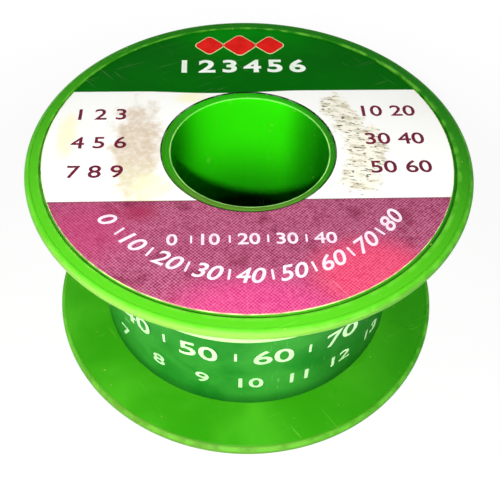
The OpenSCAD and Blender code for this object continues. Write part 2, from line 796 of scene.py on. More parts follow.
@dataclass
class Effect:
    """A surface effect that several finishes share, kept as one node group.

    Attributes:
        name: The group's name.
        values: Its inputs, all of them numbers, beside the place in millimetres.
        masks: Its outputs, all of them numbers.
    """

    name: str = "effect"
    values: tuple[str, ...] = ()
    masks: tuple[str, ...] = ("Mask",)

    def draw(self, pen: Sketch, given: Node) -> Sequence[Feed]:
        """Draws the effect from the group's input node and gives a value to each output."""
        raise NotImplementedError

    def tree(self) -> NodeTree:
        """Gives the group, and makes it the first time.

        Returns:
            The node group.
        """
        found = bpy.data.node_groups.get(self.name)
        if found is not None:
            return found
        made = bpy.data.node_groups.new(self.name, "ShaderNodeTree")
        made.interface.new_socket(name="Vector", in_out="INPUT", socket_type="NodeSocketVector")
        for way, names in (("INPUT", self.values), ("OUTPUT", self.masks)):
            for name in names:
                made.interface.new_socket(name=name, in_out=way, socket_type="NodeSocketFloat")
        pen = Sketch(made)
        drawn = self.draw(pen, pen.node("NodeGroupInput"))
        pen.fill(pen.node("NodeGroupOutput"), dict(zip(self.masks, drawn)))
        return made


@dataclass
class HandlingMarks(Effect):
    """Hairline scratches and small specks, as a spool gets them in a drawer.

    Attributes:
        scratch_sets: Turn, in degrees, and width of each set of scratches.
        speck_r: Radius of the largest speck, as a share of their spacing.
    """

    name: str = "handling_marks"
    values: tuple[str, ...] = ("Amount",)
    masks: tuple[str, ...] = ("Scratches", "Specks")
    scratch_sets: tuple[Point2, ...] = ((24.0, 0.17), (-51.0, 0.22))
    speck_r: float = 0.11

    def draw(self, pen: Sketch, given: Node) -> Sequence[Feed]:
        """Draws two crossing sets of scratches and one of specks.

        Args:
            pen: The sketch of the group.
            given: The group's input node.

        Returns:
            The scratches and the specks.
        """
        place, amount = given.outputs["Vector"], given.outputs["Amount"]
        scratches: Feed = 0.0
        for turn, wide in self.scratch_sets:
            drawn_out = pen.mapped(place, (0, 0, 0), turn, (6.0, wide, 3.0))
            streak = pen.patches(drawn_out, Patches(1.0, 1.0, (0.7, 0.77), twist=0.4))
            scratches = pen.math("MAXIMUM", scratches, streak)
        spread = pen.patches(place, Patches(0.11, 2.0, (0.42, 0.62)))
        cells = pen.node("ShaderNodeTexVoronoi")
        pen.fill(cells, {"Vector": place, "Scale": 0.75})
        size = pen.math("MULTIPLY", pen.split(cells.outputs["Color"])[0], self.speck_r)
        specks = pen.step(pen.math("SUBTRACT", size, cells.outputs["Distance"]), 0.0, 0.03)
        scratches = pen.math("MULTIPLY", scratches, spread)
        return [pen.math("MULTIPLY", mask, amount) for mask in (scratches, specks)]


@dataclass
class Mottle(Effect):
    """Slow cloudy change over a surface, with a finer grain on it."""

    name: str = "mottle"
    values: tuple[str, ...] = ("Fineness",)
    masks: tuple[str, ...] = ("Cloud", "Grain")

    def draw(self, pen: Sketch, given: Node) -> Sequence[Feed]:
        """Draws one slow and one fine noise.

        Args:
            pen: The sketch of the group.
            given: The group's input node.

        Returns:
            The clouds and the grain.
        """
        scaled = pen.node("ShaderNodeVectorMath", operation="SCALE")
        pen.feed(scaled.inputs[0], given.outputs["Vector"])
        pen.feed(scaled.inputs["Scale"], given.outputs["Fineness"])
        place = scaled.outputs[0]
        clouds = pen.patches(place, Patches(1.0, 3.0, (0.3, 0.7), twist=0.4))
        return clouds, pen.noise(place, 24.0, 3.0)


@dataclass
class EdgeWear(Effect):
    """Rubbing along the edge that runs round the spool at one radius and height."""

    name: str = "edge_wear"
    values: tuple[str, ...] = ("Radius", "Height", "Reach")

    def draw(self, pen: Sketch, given: Node) -> Sequence[Feed]:
        """Draws a band that follows the edge, broken up by noise.

        Args:
            pen: The sketch of the group.
            given: The group's input node.

        Returns:
            The rubbing.
        """
        place, radius, height, reach = given.outputs[:4]
        across, along, high = pen.split(place)
        out = pen.math("SUBTRACT", pen.radius(across, along), radius)
        up = pen.math("SUBTRACT", high, height)
        near = pen.step(pen.math("DIVIDE", pen.radius(out, up), reach), 1.0, 0.35)
        broken = pen.patches(place, Patches(0.55, 4.0, (0.36, 0.66)))
        return [pen.math("MULTIPLY", near, broken)]


@dataclass(frozen=True)
class Finish:
    """One surface finish: a named material with a Principled shader.

    Attributes:
        name: The material's name.
    """

    name: str = "finish"

    def begin(self) -> tuple[Material, Sketch, Node]:
        """Makes an empty material with its shader.

        Returns:
            The material, the sketch of its tree and the Principled node.
        """
        made = bpy.data.materials.new(self.name)
        made.use_nodes = True
        made.node_tree.nodes.clear()
        pen = Sketch(made.node_tree)
        shader = pen.node("ShaderNodeBsdfPrincipled")
        pen.feed(pen.node("ShaderNodeOutputMaterial").inputs["Surface"], shader.outputs[0])
        return made, pen, shader

    def make(self) -> Material:
        """Makes the material."""
        raise NotImplementedError


@dataclass(frozen=True)
class MouldedPlastic(Finish):
    """Slightly translucent green plastic with moulding and handling marks.

    Each colour is named for where it lies, and several are painted light and shade: lighter rims, edges,
    bore mouths and a painted highlight round them, and painted shade at the back, to the right, in
    grooves, in the rims' corners and deep in the bore. All places are in millimetres.

    Attributes:
        shine: Roughness of the clean surface.
        specular: How strongly it mirrors.
        half_height: Half the spool's height.
        bore_r: Radius of the bore.
        rim_r: Radius of the corner inside each rim.
        edge_r: Radius at which the edges begin to round.
        right_share: How much painted shade darkens the faces, the ring and the edges towards the right.
        back_span: Way to the back over which painted shade darkens rims and edges.
        recess_shift: How far the recesses lie off the bore's axis.
        rim_edges: Radius and height of each edge that is worn.
        seams: Radius, and distance from the middle height, of the lines beside the edges, which get
            painted shade.
        seam_half: Half their width.
        lip_half: Half the width of the painted highlight round the bore's mouths.
        lip_insets: That line's distance outside the bore, at the back and in front.
        lip_drops: Its distance below the rim, at the back and in front.
    """

    name: str = "moulded_plastic"
    # deep is the darker random tone, and also painted shade on the edges towards the right.
    deep: Colour = srgb(48, 148, 12)
    light: Colour = srgb(70, 170, 28)
    # right is painted shade that darkens the faces, the ring and the edges towards the right.
    right: Colour = srgb(20, 116, 4)
    # rim is painted light on the rims' tops, lightest at the front; rim_back is painted shade towards the
    # back.
    rim: Colour = srgb(86, 194, 30)
    rim_back: Colour = srgb(16, 108, 8)
    hub: Colour = srgb(36, 132, 8)
    hub_front: Colour = srgb(78, 112, 36)
    # hub_back is painted light on the back of the ring round the bore.
    hub_back: Colour = srgb(34, 186, 8)
    # edge and low_edge are painted highlights on the flanges' rounded outer edges, strongest at the front;
    # edge_back is painted shade at the back.
    edge: Colour = srgb(152, 198, 84)
    edge_back: Colour = srgb(56, 138, 30)
    low_edge: Colour = srgb(104, 146, 54)
    # seam is painted shade in the fine grooves beside the edges.
    seam: Colour = srgb(40, 122, 14)
    # bore is painted light, bright at both mouths; bore_mid, bore_side and bore_right are painted shade
    # inside, and bore_low a painted shadow low down.
    bore: Colour = srgb(44, 218, 6)
    bore_mid: Colour = srgb(22, 140, 5)
    bore_side: Colour = srgb(8, 110, 3)
    bore_right: Colour = srgb(4, 90, 3)
    bore_low: Colour = srgb(6, 66, 4)
    # lip is a painted highlight round the bore's mouths.
    lip: Colour = srgb(172, 240, 132)
    rubbed: Colour = srgb(120, 204, 66)
    dust: Colour = srgb(160, 172, 84)
    # corner is painted shade in the corners inside the rims.
    corner: Colour = srgb(8, 66, 8)
    shine: float = 0.34
    specular: float = 0.05
    half_height: float = 12.8
    bore_r: float = 8.9
    rim_r: float = 23.2
    edge_r: float = 24.45
    right_share: float = 0.65
    back_span: Point2 = (-24.0, 22.0)
    recess_shift: Point2 = (-0.12, 0.15)
    rim_edges: tuple[Point2, ...] = ((24.8, 25.4), (23.3, 25.55), (24.8, 0.2), (24.8, 1.1))
    seams: tuple[Point2, ...] = ((24.36, 12.78), (24.81, 12.61))
    seam_half: float = 0.05
    lip_half: float = 0.06
    lip_insets: Point2 = (0.05, 0.15)
    lip_drops: Point2 = (0.17, 0.115)

    def make(self) -> Material:
        """Makes the material.

        Returns:
            The plastic.
        """
        made, pen, shader = self.begin()
        place = pen.place_mm()
        cloud, grain = pen.group(Mottle(), vector=place, fineness=0.09)
        scratches, specks = pen.group(HandlingMarks(), vector=place, amount=0.8)
        wear: Feed = 0.0
        for radius, height in self.rim_edges:
            edge = pen.group(EdgeWear(), vector=place, radius=radius, height=height, reach=0.42)
            wear = pen.math("MAXIMUM", wear, edge[0])
        across, along, high = pen.split(place)
        out = pen.radius(across, along)
        above = pen.math("ABSOLUTE", pen.math("SUBTRACT", high, self.half_height))
        colour = pen.blend(cloud, self.deep, self.light)
        # Painted shade towards the right.
        colour = pen.tint(colour, self.right, pen.step(across, 6.0, 22.0), self.right_share)
        colour = self._bore(pen, place, out, colour)
        colour = self._rims(pen, place, above, colour)
        # Painted shade in the fine grooves beside the edges.
        for seam in self.seams:
            line = self._ring(pen, out, above, seam, self.seam_half)
            colour = pen.tint(colour, self.seam, line, 0.25)
        # Painted highlight round the bore's mouths.
        colour = pen.tint(colour, self.lip, self._lip(pen, place, out, above))
        # Painted shade in the corners inside the rims.
        colour = pen.tint(colour, self.corner, self._corner(pen, place, above))
        colour = pen.tint(colour, self.rubbed, wear, 0.45)
        colour = pen.tint(colour, self.rubbed, scratches, 0.4)
        colour = pen.tint(colour, self.dust, specks, 0.7)
        height = pen.weigh((grain, scratches, cloud), (0.5, -0.6, 2.0))
        pen.fill(shader, {
            "Base Color": colour,
            "Roughness": pen.weigh((cloud, scratches, wear), (0.08, 0.2, 0.12), self.shine),
            "Normal": pen.bump(height, 0.012),
            "Specular IOR Level": self.specular,
            "Subsurface Weight": 0.06,
            "Subsurface Radius": (0.5, 1.0, 0.25),
            "Subsurface Scale": 0.8 * MM,
        })
        return made

    def _bore(self, pen: Sketch, place: Feed, out: Feed, colour: Feed) -> Feed:
        """Colours the ring round the bore and the bore's wall with painted light and shade: bright at its
        mouths, deeper inside, at the sides and to the right, with a painted shadow low down.

        Args:
            pen: The sketch of the material.
            place: The place in millimetres.
            out: Its distance from the axis.
            colour: The colour so far.

        Returns:
            The new colour.
        """
        across, along, high = pen.split(place)
        outside = pen.math("SUBTRACT", out, self.bore_r)
        # The ring: olive at the front, painted light at the back, painted shade to the right.
        ring = pen.blend(pen.step(along, -2.5, -8.5), self.hub, self.hub_front)
        ring = pen.blend(pen.step(along, 2.5, 8.5), ring, self.hub_back)
        ring = pen.tint(ring, self.right, pen.step(across, 3.0, 8.5), self.right_share)
        # The wall: painted light at the mouths, painted shade deeper inside, at the sides and to the
        # right, and a painted shadow low down.
        wall = pen.blend(pen.step(high, 9.0, 21.0), self.bore_mid, self.bore)
        wall = pen.blend(pen.step(high, 9.8, 8.0), wall, self.bore_low)
        wall = pen.tint(wall, self.bore_side, pen.step(pen.math("ABSOLUTE", along), 8.0, 2.0), 0.85)
        wall = pen.tint(wall, self.bore_right, pen.step(across, 3.5, 7.0), 0.55)
        wall = pen.blend(pen.step(high, 4.0, 1.0), wall, self.bore)
        colour = pen.tint(colour, ring, pen.step(outside, 1.5, 1.0), 0.85)
        return pen.tint(colour, wall, pen.step(outside, 0.14, 0.02))

    def _rims(self, pen: Sketch, place: Feed, above: Feed, colour: Feed) -> Feed:
        """Colours the raised rims and the flanges' rounded edges with painted light and shade: lighter at
        the front, darker at the back and to the right.

        Args:
            pen: The sketch of the material.
            place: The place in millimetres.
            above: Its distance from the spool's middle height.
            colour: The colour so far.

        Returns:
            The new colour.
        """
        across, along, high = pen.split(place)
        out = pen.radius(across, along)
        below = pen.math("SUBTRACT", self.half_height, above)
        # Painted light on the rims' tops, fading to painted shade at the back.
        back = pen.step(pen.math("MULTIPLY_ADD", across, 0.35, along), *self.back_span)
        inside = pen.math("SUBTRACT", self.rim_r, out)
        on_rim = pen.math("MULTIPLY", pen.step(inside, 0.6, 0.4), pen.step(below, 0.28, 0.2))
        colour = pen.tint(colour, pen.blend(back, self.rim, self.rim_back), on_rim, 0.9)
        # Painted highlight on the outer edges, paler on the upper flange and strongest at the front, with
        # painted shade at the back and to the right.
        edge = pen.blend(pen.step(high, 0.0, 2 * self.half_height), self.low_edge, self.edge)
        edge = pen.blend(back, edge, self.edge_back)
        edge = pen.tint(edge, self.deep, pen.step(across, 0.0, 15.0, (0.15, self.right_share)))
        begun = pen.step(out, self.edge_r - 0.15, self.edge_r + 0.1)
        on_edge_highlight = pen.math("MULTIPLY", begun, pen.step(along, -10.0, -21.0, (0.3, 0.8)))
        return pen.tint(colour, edge, pen.math("MULTIPLY", on_edge_highlight, pen.step(below, 0.02, 0.24)))

    def _ring(self, pen: Sketch, out: Feed, above: Feed, ring: tuple[Feed, Feed], half: float) -> Feed:
        """Gives a line that runs round the spool at one radius, on both flanges.

        Args:
            pen: The sketch of the material.
            out: The distance from the axis.
            above: The distance from the spool's middle height.
            ring: The line's radius and its distance from the middle height.
            half: Half its width.

        Returns:
            1 on the line and 0 beside it.
        """
        off_r, off_h = pen.math("SUBTRACT", out, ring[0]), pen.math("SUBTRACT", above, ring[1])
        return pen.step(pen.radius(off_r, off_h), half * 1.7, half)

    def _lip(self, pen: Sketch, place: Feed, out: Feed, above: Feed) -> Feed:
        """Draws the painted highlight round both mouths of the bore, stronger at the front.

        Args:
            pen: The sketch of the material.
            place: The place in millimetres.
            out: Its distance from the axis.
            above: Its distance from the spool's middle height.

        Returns:
            How much of the line shows.
        """
        _, along, _ = pen.split(place)
        inset, drop = (pen.step(along, 6.0, -6.0, ends) for ends in (self.lip_insets, self.lip_drops))
        mouth = (pen.math("ADD", inset, self.bore_r), pen.math("SUBTRACT", self.half_height, drop))
        near = self._ring(pen, out, above, mouth, self.lip_half)
        broken = pen.patches(place, Patches(0.4, 3.0, (0.3, 0.62), (0.4, 1.0)))
        strength = pen.step(along, 8.5, -5.0, (0.45, 1.0))
        return pen.math("MULTIPLY", pen.math("MULTIPLY", near, broken), strength)

    def _corner(self, pen: Sketch, place: Feed, above: Feed) -> Feed:
        """Draws painted shade in the corner inside each raised rim, broken up by noise.

        Args:
            pen: The sketch of the material.
            place: The place in millimetres.
            above: Its distance from the spool's middle height.

        Returns:
            How much of the painted shade shows.
        """
        across, along, _ = pen.split(pen.vector("SUBTRACT", place, (*self.recess_shift, 0)))
        ring = (self.rim_r, self.half_height - 0.3)
        near = self._ring(pen, pen.radius(across, along), above, ring, 0.1)
        return pen.math("MULTIPLY", near, pen.patches(place, Patches(0.3, 3.0, (0.3, 0.6), (0.35, 0.75))))


@dataclass(frozen=True)
class DrawnSolder(Finish):
    """Bright grey solder, with draw lines along it and duller patches.

    Attributes:
        bright: The clean metal.
        dull: The duller patches.
        shine: Roughness of the clean metal.
    """

    name: str = "drawn_solder"
    bright: Colour = srgb(206, 208, 212)
    dull: Colour = srgb(150, 152, 156)
    shine: float = 0.3

    def make(self) -> Material:
        """Makes the material.

        Returns:
            The metal.
        """
        made, pen, shader = self.begin()
        place = pen.place_mm()
        across, along, high = pen.split(place)
        turned = pen.math("MULTIPLY", pen.math("ARCTAN2", across, along), 3.0)
        lines = pen.noise(pen.merge(turned, pen.radius(across, along), high), 9.0, 4.0)
        cloud, _ = pen.group(Mottle(), vector=place, fineness=0.3)
        dulled = pen.math("MULTIPLY", cloud, pen.step(lines, 0.35, 0.65))
        pen.fill(shader, {
            "Base Color": pen.blend(dulled, self.bright, self.dull),
            "Roughness": pen.math("MULTIPLY_ADD", dulled, 0.25, self.shine),
            "Normal": pen.bump(lines, 0.01),
            "Metallic": 1.0,
        })
        return made


@dataclass(frozen=True)
class FluxCore(Finish):
    """Amber flux, as it shows in the cut end of the wire.

    Attributes:
        pale: The clear flux.
        dark: The darker flux.
    """

    name: str = "flux_core"
    pale: Colour = srgb(214, 170, 84)
    dark: Colour = srgb(150, 96, 34)

    def make(self) -> Material:
        """Makes the material.

        Returns:
            The flux.
        """
        made, pen, shader = self.begin()
        cloud, _ = pen.group(Mottle(), vector=pen.place_mm(), fineness=6.0)
        pen.fill(shader, {
            "Base Color": pen.blend(cloud, self.pale, self.dark),
            "Roughness": pen.math("MULTIPLY_ADD", cloud, 0.2, 0.25),
        })
        return made


@dataclass(frozen=True)
class LabelPrint(Finish):
    """Coated paper of the round label, printed in three zones and scuffed.

    Each colour is named for where it lies. All places are in millimetres, in the print.

    Attributes:
        shift: The label's centre.
        turn: The print's turn in degrees.
        green_from: Height in the print at which the green zone begins.
        mauve_to: Height in the print at which the mauve zone ends.
        crisp: Half the width over which a printed edge turns.
        sag: How far the green zone's edge sags.
        sag_middle: Place across the print where it sags most.
        sag_span: Distance from there over which the sag begins.
        edge_radius: Radius outside which the paper is unprinted.
        hole_r: Radius of the hole.
        hole_off: Centre of the hole in the print.
        halftone_pitch: Distance between the halftone's rows.
        left_scuff: Where the left scuff lies.
        right_patches: The ovals that make up the right one.
        yellow_patches: The ovals where the paper is yellowed.
        specular: How strongly the paper mirrors.
    """

    name: str = "label_print"
    shift: Point3 = (-0.2, 0.33, 0.0)
    turn: float = 3.1
    green_from: float = 10.05
    mauve_to: float = -8.3
    crisp: float = 0.045
    sag: float = 0.4
    sag_middle: float = -3.0
    sag_span: Point2 = (10.0, 1.0)
    edge_radius: float = 22.97
    hole_r: float = 9.85
    hole_off: Point2 = (0.05, -0.11)
    halftone_pitch: float = 0.28
    white: Colour = srgb(252, 252, 248)
    cream: Colour = srgb(246, 241, 218)
    edge_cream: Colour = srgb(228, 226, 160)
    green: Colour = srgb(0, 100, 4)
    green_light: Colour = srgb(0, 138, 8)
    green_dark: Colour = srgb(0, 86, 6)
    mauve_dark: Colour = srgb(128, 28, 72)
    mauve_pale: Colour = srgb(192, 112, 142)
    mauve_deep: Colour = srgb(104, 16, 46)
    mauve_warm: Colour = srgb(186, 58, 108)
    pink_dots: Colour = srgb(240, 140, 176)
    magenta: Colour = srgb(200, 40, 116)
    hot_pink: Colour = srgb(214, 46, 84)
    beige: Colour = srgb(230, 214, 194)
    beige_deep: Colour = srgb(206, 188, 162)
    beige_pale: Colour = srgb(224, 216, 184)
    yellowed: Colour = srgb(250, 247, 202)
    blot: Colour = srgb(150, 22, 62)
    grey_beige: Colour = srgb(204, 196, 170)
    grime: Colour = srgb(64, 57, 46)
    # soiled is painted shade along the edge of the label's hole.
    soiled: Colour = srgb(10, 46, 12)
    left_scuff: Oval = Oval((-12.6, -0.4), (3.9, 11.6))
    right_patches: tuple[Oval, ...] = (
        Oval((10.6, 7.1), (2.4, 2.6)),
        Oval((12.0, 3.9), (2.6, 3.2)),
        Oval((13.4, -0.4), (3.2, 5.6)),
        Oval((12.1, -5.2), (3.3, 3.0)),
    )
    yellow_patches: tuple[Oval, ...] = (
        Oval((-10.4, -6.4), (3.0, 3.2)),
        Oval((-6.6, 8.9), (2.6, 1.5)),
        Oval((-20.6, 2.0), (1.6, 5.6)),
    )
    specular: float = 0.02

    def make(self) -> Material:
        """Makes the material.

        Returns:
            The printed paper.
        """
        made, pen, shader = self.begin()
        place = pen.place_mm(self.shift, self.turn)
        cloud, grain = pen.group(Mottle(), vector=place, fineness=0.16)
        scratches, specks = pen.group(HandlingMarks(), vector=place, amount=0.6)
        scuffs = self._scuffs(pen, place)
        left, right, _, grime = scuffs
        changes = (cloud, grain, pen.noise(place, 0.7, 3.0))
        colour = self._paper(pen, place, changes, scuffs)
        smudge = pen.math("MAXIMUM", left, pen.math("MULTIPLY", right, 0.7))
        colour = self._print(pen, place, colour, changes, smudge)
        colour = pen.tint(colour, self.cream, scratches, 0.16)
        colour = pen.tint(colour, self.grime, specks, 0.35)
        worn = pen.math("MAXIMUM", left, right)
        pen.fill(shader, {
            "Base Color": colour,
            "Roughness": pen.weigh((worn, cloud), (0.3, 0.06), 0.42),
            "Normal": pen.bump(pen.weigh((grime, grain, worn), (-1.0, 0.5, -0.6)), 0.02),
            "Specular IOR Level": self.specular,
        })
        return made

    def _paper(self, pen: Sketch, place: Feed, changes: Sequence[Feed], scuffs: Sequence[Feed]) -> Feed:
        """Draws the bare paper with its scuffs and yellowed patches.

        Args:
            pen: The sketch of the material.
            place: The place in the print.
            changes: The slow and the fine change over the paper, and where it is soiled.
            scuffs: The left and right scuffs, the smears and the dashes.

        Returns:
            The paper's colour.
        """
        cloud, _, soiling = changes
        left, right, smear, grime = scuffs
        _, along, _ = pen.split(place)
        paper = pen.tint(self.white, self.cream, pen.step(cloud, 0.6, 1.0), 0.12)
        rubbed = pen.blend(pen.noise(place, 0.8, 5.0), self.beige, self.beige_deep)
        rubbed = pen.tint(rubbed, self.beige_pale, pen.step(along, -0.5, -5.0))
        paper = pen.tint(paper, rubbed, left)
        yellow = pen.math("MULTIPLY", pen.spots(place, *self.yellow_patches), soiling)
        paper = pen.tint(paper, self.yellowed, pen.step(yellow, 0.0, 0.35), 0.8)
        for tone, mask in ((self.cream, right), (self.grey_beige, smear), (self.grime, grime)):
            paper = pen.tint(paper, tone, mask)
        return paper

    def _print(self, pen: Sketch, place: Feed, paper: Feed, changes: Sequence[Feed], smudge: Feed) -> Feed:
        """Prints the two coloured zones on the paper, lays a cream line along its outer edge and paints
        shade round its hole.

        Args:
            pen: The sketch of the material.
            place: The place in the print.
            paper: The bare paper's colour.
            changes: The slow and the fine change over the paper, and where it is soiled.
            smudge: Where the mauve is smudged.

        Returns:
            The printed colour.
        """
        cloud, grain, soiling = changes
        across, along, _ = pen.split(place)
        beside = pen.math("ABSOLUTE", pen.math("SUBTRACT", across, self.sag_middle))
        sagged = pen.math("ADD", along, pen.step(beside, *self.sag_span, (0.0, self.sag)))
        in_green = pen.step(sagged, self.green_from - self.crisp, self.green_from + self.crisp)
        in_mauve = pen.step(along, self.mauve_to + self.crisp, self.mauve_to - self.crisp)
        colour = pen.tint(paper, self._green_zone(pen, place, cloud), in_green)
        mauve = pen.tint(self._mauve_zone(pen, place, cloud, grain), self.mauve_deep, smudge, 0.75)
        colour = pen.tint(colour, mauve, in_mauve)
        off_line = pen.math("ABSOLUTE", pen.math("SUBTRACT", along, self.mauve_to))
        colour = pen.tint(colour, self.mauve_deep, pen.step(off_line, 0.13, 0.05), 0.7)
        fade = 0.02
        margin = pen.step(pen.radius(across, along), self.edge_radius - fade, self.edge_radius + fade)
        margin = pen.math("MULTIPLY", margin, pen.math("SUBTRACT", 1.0, in_green))
        margin = pen.math("MULTIPLY", margin, pen.step(soiling, 0.35, 0.6, (0.3, 0.9)))
        colour = pen.tint(colour, self.edge_cream, margin)
        # Painted shade along the edge of the hole, broken up by noise.
        off_hole = [pen.math("SUBTRACT", *pair) for pair in zip((across, along), self.hole_off)]
        hole_shade = pen.step(pen.radius(*off_hole), self.hole_r + 0.16, self.hole_r + 0.1)
        hole_shade = pen.math("MULTIPLY", hole_shade, pen.step(soiling, 0.3, 0.55, (0.8, 1.0)))
        return pen.tint(colour, self.soiled, hole_shade)

    def _scuffs(self, pen: Sketch, place: Feed) -> tuple[Feed, ...]:
        """Draws the two rubbed patches beside the bore.

        Args:
            pen: The sketch of the material.
            place: The place in the print.

        Returns:
            The left patch, the right patch, its grey smears and its dark dashes.
        """
        across, along, _ = pen.split(place)
        ragged, inset = 1.1, 0.6
        rough = pen.noise(place, 0.55, 5.0, 0.3)
        left, right = (
            pen.math("MULTIPLY_ADD", rough, ragged, pen.math("SUBTRACT", pen.spots(place, *ovals), inset))
            for ovals in ((self.left_scuff,), self.right_patches)
        )
        blotchy = pen.patches(place, Patches(1.5, 4.0, (0.36, 0.58), (0.72, 1.0)))
        left = pen.math("MULTIPLY", pen.step(left, 0.04, 0.5), blotchy)
        right = pen.step(right, 0.06, 0.38)
        leaning = pen.merge(across, pen.math("MULTIPLY_ADD", across, 0.16, along))
        smear, grime = (
            pen.math("MULTIPLY", pen.patches(pen.vector("MULTIPLY", leaning, stretch), patches), right)
            for stretch, patches in (
                ((0.55, 1.4, 1.0), Patches(1.0, 3.0, (0.46, 0.64), (0.0, 0.85))),
                ((1.35, 3.7, 1.0), Patches(1.0, 2.0, (0.575, 0.65), (0.0, 0.9))),
            )
        )
        return left, pen.math("MULTIPLY", right, 0.7), smear, grime

    def _green_zone(self, pen: Sketch, place: Feed, cloud: Feed) -> Feed:
        """Draws the green zone, lighter at the back and darker in slow clouds.

        Args:
            pen: The sketch of the material.
            place: The place in the print.
            cloud: The slow change over the paper.

        Returns:
            The zone's colour.
        """
        back = pen.spots(place, Oval((1.0, 24.5), (15.0, 10.5)))
        green = pen.tint(self.green, self.green_light, pen.step(back, 0.0, 0.8))
        return pen.tint(green, self.green_dark, cloud, 0.45)

    def _mauve_zone(self, pen: Sketch, place: Feed, cloud: Feed, grain: Feed) -> Feed:
        """Draws the mauve zone: a diagonal halftone under warm pink clouds.

        Args:
            pen: The sketch of the material.
            place: The place in the print.
            cloud: The slow change over the paper.
            grain: The fine change over the paper.

        Returns:
            The zone's colour.
        """
        across, along, _ = pen.split(place)
        warm, blot, low, side = (
            pen.spots(place, oval)
            for oval in (
                Oval((-17.5, -12.5), (8.0, 7.0)),
                Oval((-11.6, -9.8), (3.0, 2.0)),
                Oval((0.0, -23.4), (12.0, 6.6)),
                Oval((11.6, -18.4), (8.0, 5.8)),
            )
        )
        pace = math.tau / (self.halftone_pitch * math.sqrt(2))
        columns, rows = (pen.math("SINE", pen.math("MULTIPLY", value, pace)) for value in (across, along))
        dots = pen.math("MULTIPLY_ADD", columns, rows, pen.math("MULTIPLY", grain, 3.2))
        dots = pen.step(dots, 0.4, 2.8)
        zone = pen.blend(dots, self.mauve_dark, self.mauve_pale)
        flat = pen.merge(across, along)
        blots = pen.patches(flat, Patches(0.35, 4.0, (0.52, 0.7), (0.0, 0.5)))
        zone = pen.tint(zone, self.mauve_deep, blots)
        zone = pen.tint(zone, self.mauve_deep, cloud, 0.12)
        zone = pen.tint(zone, self.mauve_warm, pen.step(warm, 0.0, 0.8), 0.5)
        blot = pen.step(pen.math("MULTIPLY_ADD", blots, 0.8, blot), 0.0, 0.9)
        blot = pen.math("MULTIPLY", blot, pen.step(grain, 0.3, 0.6, (0.5, 1.0)))
        zone = pen.tint(zone, self.blot, blot, 0.7)
        low, side = (pen.step(cloudlet, 0.0, 0.6) for cloudlet in (low, side))
        zone = pen.tint(zone, self.magenta, low, 0.8)
        zone = pen.tint(zone, self.hot_pink, side, 0.8)
        lit = pen.math("MULTIPLY", dots, pen.math("MAXIMUM", low, side))
        return pen.tint(zone, self.pink_dots, lit, 0.3)


@dataclass(frozen=True)
class BandPrint(Finish):
    """Glossy coated paper of the band, green below a white margin.

    Attributes:
        margin_from: Mean height at which the white margin begins.
        margin_sway: How far the print's edge rises and falls round the band.
        crisp: Half the height over which that edge turns.
        wire_pitch: Distance between the turns that press through the paper.
        green: Darker green of the print.
        green_light: Lighter green of the print.
        green_dark: Painted shade on its green at the foot and towards the right, and the tone of its
            specks.
        margin: The unprinted margin: white paper tinted mint as painted green light bounced from the
            flanges; also the tone of its scratches.
        foot_z: Height of the band's foot.
        foot_high: How far the painted shade at the foot reaches up.
        right_span: Way to the right over which painted shade darkens the print.
        specular: How strongly the paper mirrors.
    """

    name: str = "band_print"
    margin_from: float = 14.55
    margin_sway: float = 0.62
    crisp: float = 0.05
    wire_pitch: float = 0.6
    green: Colour = srgb(24, 122, 30)
    green_light: Colour = srgb(52, 146, 46)
    # green_dark is painted shade at the foot and towards the right, and the tone of the specks.
    green_dark: Colour = srgb(6, 84, 18)
    # margin is white paper tinted mint as painted green bounce light.
    margin: Colour = srgb(190, 234, 158)
    foot_z: float = 1.36
    foot_high: float = 2.6
    right_span: Point2 = (5.0, 12.0)
    specular: float = 0.07

    def make(self) -> Material:
        """Makes the material.

        Returns:
            The printed paper.
        """
        made, pen, shader = self.begin()
        place = pen.place_mm()
        across, along, high = pen.split(place)
        round_it = pen.math("ARCTAN2", across, pen.math("MULTIPLY", along, -1.0))
        sway = pen.math("MULTIPLY", pen.math("SINE", round_it), self.margin_sway)
        level = pen.math("SUBTRACT", high, pen.math("ADD", sway, self.margin_from))
        cloud, grain = pen.group(Mottle(), vector=place, fineness=0.14)
        scratches, specks = pen.group(HandlingMarks(), vector=place, amount=0.7)
        foot = pen.step(high, self.foot_z + self.foot_high, self.foot_z)
        colour = pen.blend(cloud, self.green, self.green_light)
        # Painted shade at the foot and towards the right.
        colour = pen.tint(colour, self.green_dark, foot, 0.6)
        colour = pen.tint(colour, self.green_dark, pen.step(across, *self.right_span), 0.5)
        # The margin's mint is painted green bounce light on white paper.
        colour = pen.tint(colour, self.margin, pen.step(level, -self.crisp, self.crisp))
        colour = pen.tint(colour, self.margin, scratches, 0.2)
        colour = pen.tint(colour, self.green_dark, specks, 0.3)
        ridges = pen.math("SINE", pen.math("MULTIPLY", high, math.tau / self.wire_pitch))
        pen.fill(shader, {
            "Base Color": colour,
            "Roughness": pen.math("MULTIPLY_ADD", cloud, 0.12, 0.3),
            "Normal": pen.bump(pen.weigh((ridges, grain, cloud), (0.12, 0.5, 1.5)), 0.02),
            "Specular IOR Level": self.specular,
        })
        return made


@dataclass(frozen=True)
class PrintInk(Finish):
    """Ink of the printed marks, slightly uneven.

    Attributes:
        full: The ink's colour where it lies thick.
        thin: Its colour where it is worn.
        worn: How much of the worn colour shows at most.
    """

    name: str = "print_ink"
    full: Colour = srgb(255, 255, 255)
    thin: Colour = srgb(220, 240, 214)
    worn: float = 0.6

    def make(self) -> Material:
        """Makes the material.

        Returns:
            The ink.
        """
        made, pen, shader = self.begin()
        cloud, grain = pen.group(Mottle(), vector=pen.place_mm(), fineness=0.7)
        pen.fill(shader, {
            "Base Color": pen.tint(self.full, self.thin, cloud, self.worn),
            "Roughness": pen.math("MULTIPLY_ADD", cloud, 0.15, 0.4),
            "Normal": pen.bump(grain, 0.006),
            "Specular IOR Level": 0.1,
        })
        return made


# ---------------------------------------------------------------- sub-assemblies


